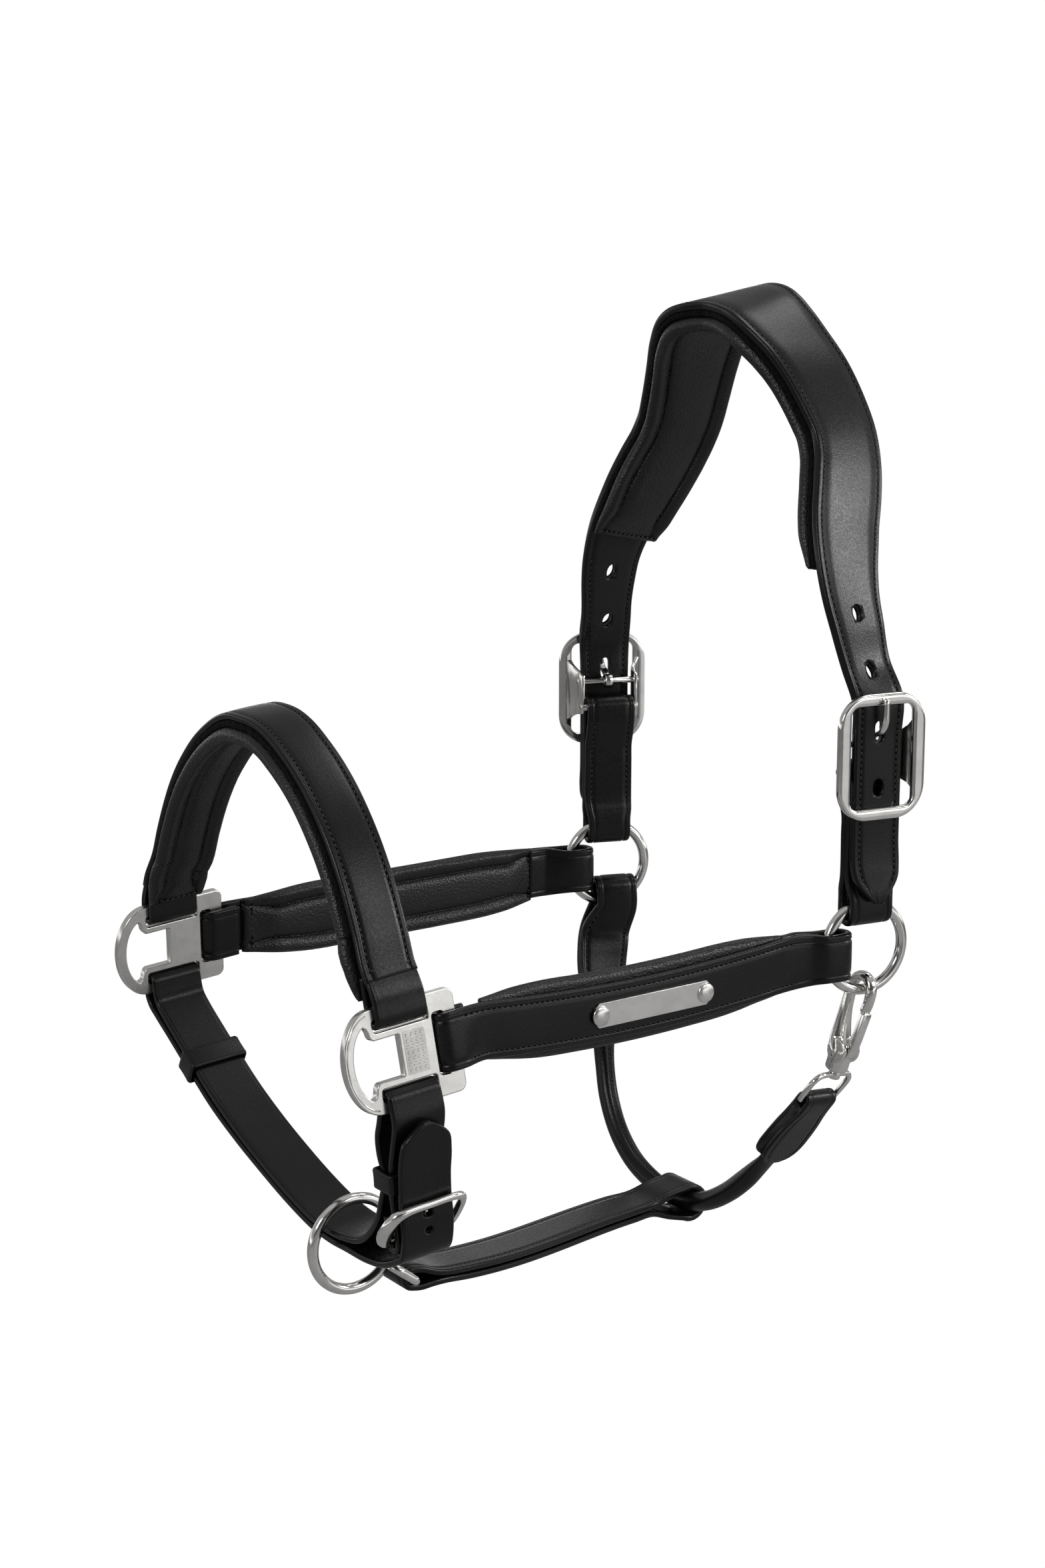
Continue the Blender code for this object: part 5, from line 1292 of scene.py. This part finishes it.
def build_keepers():
    plane = chin_frame()
    a, b = chin_point(plane, 68.0, -333.0), chin_point(plane, 84.0, -322.2)
    along = unit(b - a)
    across = chin_point(plane, 70.4, -337.6) - a
    across = across - along * np.dot(across, along)
    build_keeper("far_chin_keeper", "far_keeper", a + across / 2 + along * 3, along, 4.8, 11.0)
    build_keeper("near_chin_keeper", "near_keeper", chin_point(plane, -100.2, -336.8), plane.k, 5.9, 9.0)


# ---------------------------------------------------------------- square link and jowl strap

def radial(angle):
    t = math.radians(angle)
    return vec(math.cos(t), 0, math.sin(t))


def build_square_loop():
    out, centre = radial(LOOP_ANGLE), vec(*CHIN_RING)
    f = Frame(centre, Y_AXIS, np.cross(out, Y_AXIS), out)
    middle, depth = (LOOP_FRONT + LOOP_REAR) / 2, LOOP_REAR - LOOP_FRONT
    outline = [(w, k + middle) for w, k in rounded_rectangle(2 * LOOP_HALF_LENGTH, depth, 3.0, 10)]
    points = []
    for (w0, k0), (w1, k1) in zip(outline, outline[1:] + outline[:1]):
        count = max(1, int(math.hypot(w1 - w0, k1 - k0) / 1.5))
        points += [f.at(w0 + (w1 - w0) * i / count, 0, k0 + (k1 - k0) * i / count) for i in range(count)]
    rings = tube_rings(points, BAR_RADIUS, 18, f.v, closed=True)
    add("square_loop_metal", *loft(rings, closed=True), NICKEL, "square_link", ["square_loop"])


def build_jowl_strap():
    front = vec(*CHIN_RING) + radial(LOOP_ANGLE) * LOOP_REAR
    rear = vec(*SLEEVE_CENTRE)
    flat = vec(rear[0] - front[0], 0, rear[2] - front[2])
    along, length = unit(flat), np.linalg.norm(flat)
    up = np.cross(along, -Y_AXIS)
    up = up if up[2] > 0 else -up
    wrap = BAR_RADIUS + GAP + LEATHER / 2

    def place(distance, height):
        share = min(max((distance - 12) / (length - 34), 0), 1)
        share = 0.5 * share + 0.5 * share * share * (3 - 2 * share)
        base = front + along * distance + Y_AXIS * (rear[1] - front[1]) * share
        return base + up * (height - 3.2 * math.sin(math.pi * min(max(distance / length, 0), 1)))

    split = 34.0
    path = [(split, -1.85), (18, -1.85), (11, -2.6), (5, -wrap)]
    path += [(wrap * math.cos(t), wrap * math.sin(t)) for t in arc(270, 90, 10)]
    path += [(5, wrap), (11, 2.6), (18, 1.85)]
    path += [(18 + (length - 58) * i / 6, 1.85) for i in range(1, 7)]
    path += [(length - 24, 2.2), (length - 13, 5.2)]
    path += [(length + 8.0 * math.cos(t), 8.0 * math.sin(t)) for t in arc(115, -115, 16)]
    path += [(length - 13, -5.2), (length - 24, -2.2)]
    path += [(length - 40 - (length - 40 - split) * i / 6, -1.85) for i in range(6)]
    rows = [(place(d, h), Y_AXIS, 11.2 if d > length - 30 else 12.0, LEATHER - 0.2) for d, h in path]
    band = ring_path(rows, 1.4)
    strap("jowl_strap_leather", band, BRIDLE, "jowl", ["jowl_strap"], closed=True)
    stations = (band.c - front) @ along
    lift = np.array([np.dot(c - place(d, 0), up) for c, d in zip(band.c, stations)])
    middle = (stations > 12) & (stations < length - 19)
    places = facing(band, middle & (lift > 0), up) + facing(band, middle & (lift < 0), -up)
    sew("jowl_strap_stitching", places, "jowl", "jowl_strap")


# ---------------------------------------------------------------- throat strap, tab and snap

THROAT_PATH = [
    (-5.0, 98.6, -316.0, 13.0, 3.6), (-8.6, 95.6, -326.0, 13.2, 3.6), (-11.8, 91.6, -336.0, 12.8, 3.6),
    (-14.4, 87.2, -347.0, 11.2, 4.0), (-15.8, 84.6, -356.0, 8.8, 4.5), (-17.2, 82.2, -365.0, 6.4, 4.9),
    (-19.4, 78.0, -379.0, 5.0, 5.0),
    (-21.8, 71.0, -395.0, 5.0, 5.0), (-23.8, 60.0, -409.5, 5.0, 5.0), (-25.2, 45.0, -420.5, 5.0, 5.0),
    (-25.8, 28.0, -426.6, 5.0, 5.0), (-26.0, 15.0, -428.4, 5.0, 5.0), (-26.0, 5.0, -428.5, 5.0, 5.0),
    (-26.0, -5.0, -427.2, 5.0, 5.0), (-25.6, -18.0, -422.6, 5.0, 5.0), (-24.4, -31.0, -414.6, 5.0, 5.0),
    (-22.8, -42.5, -404.6, 5.0, 4.9), (-21.6, -49.6, -397.2, 5.6, 3.9), (-20.6, -56.0, -390.4, 6.6, 2.6),
    (-19.4, -61.6, -383.5, 7.6, 2.3), (-18.4, -67.0, -376.0, 8.0, 2.2), (-17.2, -72.6, -368.2, 8.2, 2.0),
]
TAB_LOW, TAB_HIGH = vec(-20.4, -57.6, -389.0), vec(-14.2, -82.4, -354.6)
TAB_FOLD_HALF = 9.6
SEAM_GROOVE = ((9, 0.02), (10, 0.08), (11, 0.20), (12, 0.27), (13, 0.20), (14, 0.08))


def tab_frame():
    k = unit(TAB_HIGH - TAB_LOW)
    w = unit(X_AXIS - k * np.dot(X_AXIS, k))
    v = np.cross(w, k)
    return Frame(TAB_HIGH, w, v if v[1] < 0 else -v, k)


def build_throat_strap():
    """Flat doubled strap folded round the far ring, whose layers close into a roll lower down."""
    ring = ring_frame(FAR)
    inner, shift = 3.9 + LEATHER / 2, 4.0
    centres = [vec(*row[:3]) for row in THROAT_PATH[:6]]
    legs = []
    for i, centre in enumerate(centres):
        along = unit(centres[min(i + 1, 5)] - centres[max(i - 1, 0)])
        across = unit(ring.w * (1 - i / 5) + X_AXIS * i / 5)
        out = unit(np.cross(across, along))
        out = out if out[1] > 0 else -out
        depth = (1.95, 1.75, 1.7, 1.6, 1.4, 1.0)[i]
        legs.append((centre, across, out * depth, min(THROAT_PATH[i][3], 13.2) - 0.2 * i, LEATHER - 0.22 * i))
    fold = [(inner * math.cos(t), -14.4 + inner * math.sin(t), 10.7) for t in arc(180, 0, 10)]
    fold = [(-inner, -23.0, 10.9)] + fold + [(inner, -23.0, 10.9)]
    rows = [(c - out, across, half, thick) for c, across, out, half, thick in legs[::-1]]
    rows += [(ring.at(shift, v, k), ring.w, half, LEATHER) for v, k, half in fold]
    rows += [(c + out, across, half, thick) for c, across, out, half, thick in legs]
    band = dense(rows, 1.3)
    flat = strap_mesh(band, crown=0.2)
    path = smooth_points(THROAT_PATH[3:], 1.2)
    rings = []
    for i, ring_points in enumerate(tube_rings(path[:, :3], path[:, 3], 48, X_AXIS, path[:, 4])):
        centre, ring_points = path[i, :3], np.array(ring_points)
        for j, depth in SEAM_GROOVE:
            ring_points[j] = centre + (ring_points[j] - centre) * (1 - depth * 0.62)
        if i < 14:
            ring_points = centre + (ring_points - centre) * (0.78 + 0.22 * i / 14)
        rings.append(ring_points)
    roll = loft(rings)
    verts, faces = merge([flat[:2], roll])
    edge = list(flat[2]) + [0.2] * len(roll[0])
    add("throat_strap_leather", verts, faces, BRIDLE, "throat", ["throat_strap"], edge=edge)
    places = []
    for i in range(16, len(rings) - 6, 2):
        point, centre = rings[i][12], path[i, :3]
        along, out = unit(path[i + 1, :3] - path[i - 1, :3]), unit(point - centre)
        places.append((point, along, np.cross(out, along), out))
    level = (band.c[:, 2] > -350) & (band.c[:, 2] < -306)
    side = (band.c - ring.origin) @ ring.v
    middle = [(c - ring.origin) @ ring.v for c in centres]
    low = np.interp(-band.c[:, 2], [-c[2] for c in centres], middle)
    places += facing(band, level & (side < low), -ring.v) + facing(band, level & (side > low), ring.v)
    sew("throat_strap_stitching", places, "throat", "throat_strap", 1.8)


def build_throat_tab():
    f = tab_frame()
    length, reach = np.linalg.norm(TAB_HIGH - TAB_LOW), EYE_WIRE + GAP + 1.2
    halves = ((-length - 0.6, 3.4, 2.9), (-length + 0.8, 7.2, 2.9), (-length + 3.6, 10.2, 2.9),
              (-length + 9, 12.2, 2.8), (-length + 16, 12.5, 2.7), (-18, 12.0, 2.6), (-11, 10.6, 2.7))
    solid = halves + ((-6.5, 10.0, 3.0), (-3.6, 10.0, 3.0))
    rows = [(f.at(0, -v, k), f.w, half, TAB_LEATHER) for k, half, v in halves]
    rows.append((f.at(0, -3.0, -5.5), f.w, TAB_FOLD_HALF, TAB_LEATHER))
    for t in arc(180, 0, 10):
        rows.append((f.at(0, reach * math.cos(t), reach * math.sin(t)), f.w, TAB_FOLD_HALF, TAB_LEATHER))
    rows.append((f.at(0, 3.0, -5.5), f.w, TAB_FOLD_HALF, TAB_LEATHER))
    rows += [(f.at(0, v, k), f.w, half, TAB_LEATHER) for k, half, v in halves[::-1]]
    band = dense(rows, 1.2)
    skin = strap_mesh(band)
    rings = []
    for k, half, v in solid:
        rings.append([f.at(w, depth, k) for w, depth in rounded_rectangle(2 * (half - 0.45), 2 * v, 1.0, 4)])
    core = loft(rings)
    verts, faces = merge([skin[:2], core])
    edge = list(skin[2]) + [1.0] * len(core[0])
    add("throat_tab_leather", verts, faces, BRIDLE, "throat", ["throat_tab"], edge=edge)
    below = (band.c - f.origin) @ f.k < -8
    out = (band.c - f.origin) @ f.v
    places = facing(band, below & (out > 0), f.v, 2.8, 2.4) + facing(band, below & (out < 0), -f.v, 2.8, 2.4)
    for face in (-1, 1):
        for t in arc(-140, -40, 7):
            point = f.at(8.2 * math.cos(t), face * (2.9 + 1.15 - 0.25), -length + 10.4 + 8.2 * math.sin(t))
            along = -f.w * math.sin(t) + f.k * math.cos(t)
            places.append((point, along, f.w * math.cos(t) + f.k * math.sin(t), f.v * face))
    sew("throat_tab_stitching", places, "throat", "throat_tab", 1.7)


def build_snap():
    tab, ring = tab_frame(), ring_frame(NEAR)
    wire = ring.at(0, 0, -RING_RADIUS)
    swivel = vec(-10.5, -92.0, -336.5)
    up = unit(wire + vec(0, 0, 4) - swivel)
    width = unit(X_AXIS - up * np.dot(X_AXIS, up))
    out = np.cross(width, up)
    hook = Frame(swivel, width, out if out[1] < 0 else -out, up)
    build_snap_eye(tab, hook)
    build_snap_body(hook, wire)
    build_snap_gate(hook, wire)


def build_snap_eye(tab, hook):
    half = TAB_FOLD_HALF + 0.6 + EYE_WIRE
    top = hook.at(0, 0, -4.6)
    lift = 13.4
    control = [tab.at(-half + 2, 0, 0), tab.at(0, 0, 0), tab.at(half - 2, 0, 0), tab.at(half - 0.5, 0, 0.6),
               tab.at(half, 0, 3), tab.at(half, 0, lift), top + tab.w * (half - 2.5) - hook.k * 0.6,
               top + tab.w * 5, top, top - tab.w * 5, top - tab.w * (half - 2.5) - hook.k * 0.6,
               tab.at(-half, 0, lift), tab.at(-half, 0, 3), tab.at(-half + 0.5, 0, 0.6)]
    points = smooth_points(control, 0.8, closed=True)
    wire = loft(tube_rings(points, EYE_WIRE, 14, unit(tab.v + hook.v), closed=True), closed=True)
    boss = round_rod(hook.at(0, 0, -6.6), hook.at(0, 0, -2.7), 2.9, 0.6)
    stem = round_rod(hook.at(0, 0, -6.2), hook.at(0, 0, 2.2), 1.7)
    add("snap_eye_metal", *merge([wire, stem, boss]), NICKEL, "throat", ["snap_eye"])


def fuse(name, parts, voxel, smooth, material, body, nodes):
    """Blend overlapping solids into one cast-looking form."""
    shell = tool_object(*merge(parts))
    remesh = shell.modifiers.new("remesh", "REMESH")
    remesh.mode, remesh.voxel_size = "VOXEL", voxel * MM
    soften = shell.modifiers.new("soften", "SMOOTH")
    soften.factor, soften.iterations = 0.5, smooth
    mesh = evaluated_mesh(shell)
    bpy.data.objects.remove(shell)
    mesh.name = name
    return finish_mesh(name, mesh, material, body, nodes)


def build_snap_body(hook, wire):
    local = wire - hook.origin
    wv, wk = float(np.dot(local, hook.v)), float(np.dot(local, hook.k))
    arch = RING_WIRE + 1.0 + 2.7
    path = [(-0.4, 4.4, 3.8, 5.6), (-0.9, 6.5, 4.0, 6.3), (-2.2, 10.0, 3.9, 6.4), (-3.4, 15.0, 3.4, 5.6),
            (-4.4, 21.0, 2.9, 4.4), (-5.2, 28.0, 2.7, 3.3)]
    path += [(wv + arch * math.cos(t), wk + arch * math.sin(t), 2.5, 2.8) for t in arc(172, 8, 10)]
    path += [(wv + arch + 0.4, wk - 4.5, 2.3, 2.7), (wv + arch - 0.2, wk - 8.4, 2.2, 2.7),
             (wv + arch - 0.3, wk - 9.1, 2.0, 2.5)]
    rows = smooth_points([(*hook.at(0, v, k), a, b) for v, k, b, a in path], 0.7)
    parts = [loft(tube_rings(rows[:, :3], rows[:, 3], 20, hook.w, rows[:, 4]))]
    parts.append(round_rod(hook.at(0, 0, -2.4), hook.at(0, 0, 7.0), 5.4, 1.2, 32))
    outline = [(1.0 + 5.7 * math.cos(t), 8.3 + 5.9 * math.sin(t)) for t in whole_turn(24)]
    for sign in (-1, 1):
        parts.append(loft([[hook.at(w, v, k) for v, k in outline] for w in (sign * 2.9, sign * 5.2)]))
    parts.append(round_rod(hook.at(-6.2, -2.2, 8.6), hook.at(0, -2.2, 8.6), 1.9, 0.5))
    fuse("snap_body_metal", parts, 0.38, 6, CAST, "snap_hook", ["snap_body"])
    pin = round_rod(hook.at(-5.75, 4.6, 8.0), hook.at(5.75, 4.6, 8.0), 1.3, 0.35)
    add("snap_pin_metal", *pin, NICKEL, "snap_hook", ["snap_gate_pin"])


def build_snap_gate(hook, wire):
    top = float(np.dot(wire - hook.origin, hook.k)) - 9.1
    outline = [(2.9, 6.2), (3.4, 5.4), (4.6, 5.0), (5.6, 5.5), (7.4, 8.0), (8.1, 12.0), (8.6, 16.0),
               (9.5, top - 0.5), (9.1, top), (6.6, top), (6.2, top - 0.5), (5.4, 16.0), (4.8, 13.0),
               (4.0, 11.0)]
    side = Frame(hook.origin, hook.v, hook.w, hook.k)
    metal = slab([outline], side, -2.5, 2.5, 0.6)
    piece = add("snap_gate_metal", *metal, NICKEL, "snap_lever", ["snap_gate"])
    shade_by_angle(piece, 45)


# ---------------------------------------------------------------- camera, light and floor

# the solved camera, in metres, degrees and millimetres of lens
CAMERA_AT = (-0.80395, -0.98629, 0.0484)
CAMERA_AZIMUTH, CAMERA_ELEVATION = -34.549, 11.957
LENS, SENSOR = 61.2245, 36.0
# name, place, target, size in metres, power in watts
SOFTBOXES = (
    ("overhead_softbox", (0.72, 0.06, 0.98), (-0.1, 0.0, -0.05), 0.62, 2.5),
    ("key_softbox", (-1.6, -0.5, 0.6), (-0.12, 0.0, -0.22), 0.5, 6),
    ("side_softbox", (1.10, -0.86, 0.32), (0.0, -0.09, -0.11), 0.42, 5.5),
    ("nose_softbox", (0.34, -1.11, 0.51), (-0.26, -0.08, -0.22), 0.4, 1.8),
    ("cheek_softbox", (0.55, -1.33, -0.42), (-0.1, -0.1, -0.25), 0.8, 0.8),
)
# brightness of the room from its lowest direction to its highest, and the side that the camera darkens
ROOM_GRADE = [(0.0, 0.40), (0.30, 0.55), (0.41, 1.25), (0.53, 1.2), (0.575, 0.30), (0.80, 0.34), (1.0, 0.40)]
CAMERA_SIDE = (-0.56, -0.81, 0.16)
CAMERA_SHADE = [(0.62, 1.0), (0.86, 0.22)]
FLOOR_LEVEL, FLOOR_REACH = -0.62, 9


def build_camera():
    az, el = math.radians(CAMERA_AZIMUTH), math.radians(CAMERA_ELEVATION)
    forward = Vector((-math.sin(az) * math.cos(el), math.cos(az) * math.cos(el), -math.sin(el)))
    data = bpy.data.cameras.new("camera")
    camera = bpy.data.objects.new("camera", data)
    bpy.context.scene.collection.objects.link(camera)
    data.lens, data.sensor_width = LENS, SENSOR
    data.clip_start, data.clip_end = 0.01, 50.0
    camera.location = CAMERA_AT
    camera.rotation_mode = "QUATERNION"
    camera.rotation_quaternion = forward.to_track_quat("-Z", "Y")
    bpy.context.scene.camera = camera


def area_light(name, place, target, size, power):
    data = bpy.data.lights.new(name, "AREA")
    data.energy, data.size = power, size
    lamp = bpy.data.objects.new(name, data)
    bpy.context.scene.collection.objects.link(lamp)
    lamp.location = place
    aim = Vector(target) - Vector(place)
    lamp.rotation_mode = "QUATERNION"
    lamp.rotation_quaternion = aim.to_track_quat("-Z", "Y")


def seen_white(tree, shader_output, target):
    """Show pure white to the camera, and the given shader to every other ray."""
    path = node(tree, "ShaderNodeLightPath")
    surface = target.node.type == "OUTPUT_MATERIAL"
    white = node(tree, "ShaderNodeEmission" if surface else "ShaderNodeBackground")
    white.inputs["Color"].default_value = (1, 1, 1, 1)
    white.inputs["Strength"].default_value = 1.0
    mixed = node(tree, "ShaderNodeMixShader")
    tree.links.new(path.outputs["Is Camera Ray"], mixed.inputs[0])
    tree.links.new(shader_output, mixed.inputs[1])
    tree.links.new(white.outputs[0], mixed.inputs[2])
    tree.links.new(mixed.outputs[0], target)


def build_world():
    """A white backdrop, and for the metal to reflect a graded room that is darker toward the camera."""
    world = bpy.data.worlds.new("studio")
    bpy.context.scene.world = world
    world.use_nodes = True
    tree = world.node_tree
    shade, output = tree.nodes["Background"], tree.nodes["World Output"]
    place = node(tree, "ShaderNodeTexCoord")
    split = node(tree, "ShaderNodeSeparateXYZ")
    tree.links.new(place.outputs["Generated"], split.inputs[0])
    level = node(tree, "ShaderNodeMapRange")
    level.inputs["From Min"].default_value = -1.0
    feed(level, "Value", split.outputs["Z"])
    grade = ramp(tree, level.outputs[0], ROOM_GRADE)
    toward = node(tree, "ShaderNodeVectorMath", operation="DOT_PRODUCT")
    tree.links.new(place.outputs["Generated"], toward.inputs[0])
    toward.inputs[1].default_value = CAMERA_SIDE
    dark = ramp(tree, toward.outputs["Value"], CAMERA_SHADE)
    shaded = node(tree, "ShaderNodeMix", data_type="RGBA", blend_type="MULTIPLY")
    shaded.inputs[0].default_value = 1.0
    tree.links.new(grade, shaded.inputs[6])
    tree.links.new(dark, shaded.inputs[7])
    feed(shade, "Color", shaded.outputs[2])
    shade.inputs["Strength"].default_value = 1.0
    seen_white(tree, shade.outputs[0], output.inputs["Surface"])


def build_studio():
    bpy.context.scene.view_settings.view_transform = "Standard"
    build_world()
    for softbox in SOFTBOXES:
        area_light(*softbox)
    corners = ((-1, -1), (1, -1), (1, 1), (-1, 1))
    verts = [(x * FLOOR_REACH, y * FLOOR_REACH, FLOOR_LEVEL) for x, y in corners]
    mesh = bpy.data.meshes.new("studio_floor")
    mesh.from_pydata(verts, [], [(0, 1, 2, 3)])
    material, tree, shader = plain("studio_floor", (0.42, 0.42, 0.42), 0.9)
    seen_white(tree, shader.outputs[0], tree.nodes["Material Output"].inputs["Surface"])
    mesh.materials.append(material)
    floor = bpy.data.objects.new("studio_floor", mesh)
    bpy.context.scene.collection.objects.link(floor)


# ---------------------------------------------------------------- the whole headcollar

def main():
    build_camera()
    build_headpiece()
    for side in SIDES:
        build_cheekpiece(side)
        build_buckle(side)
        ring_name = f"{SIDES[side]}_cheek_ring"
        ring = torus(ring_frame(side), RING_RADIUS, RING_WIRE)
        add(ring_name + "_metal", *ring, NICKEL, f"{SIDES[side]}_ring", [ring_name])
        build_plate(side)
        build_cheek_strap(side)
    build_noseband()
    build_chin_strap()
    build_chin_buckle()
    build_keepers()
    ring = torus(Frame(CHIN_RING, X_AXIS, Y_AXIS, Z_AXIS), RING_RADIUS, RING_WIRE)
    add("chin_ring_metal", *ring, NICKEL, "chin_lead_ring", ["chin_ring"])
    build_square_loop()
    build_jowl_strap()
    build_throat_strap()
    build_throat_tab()
    build_snap()
    build_studio()


main()
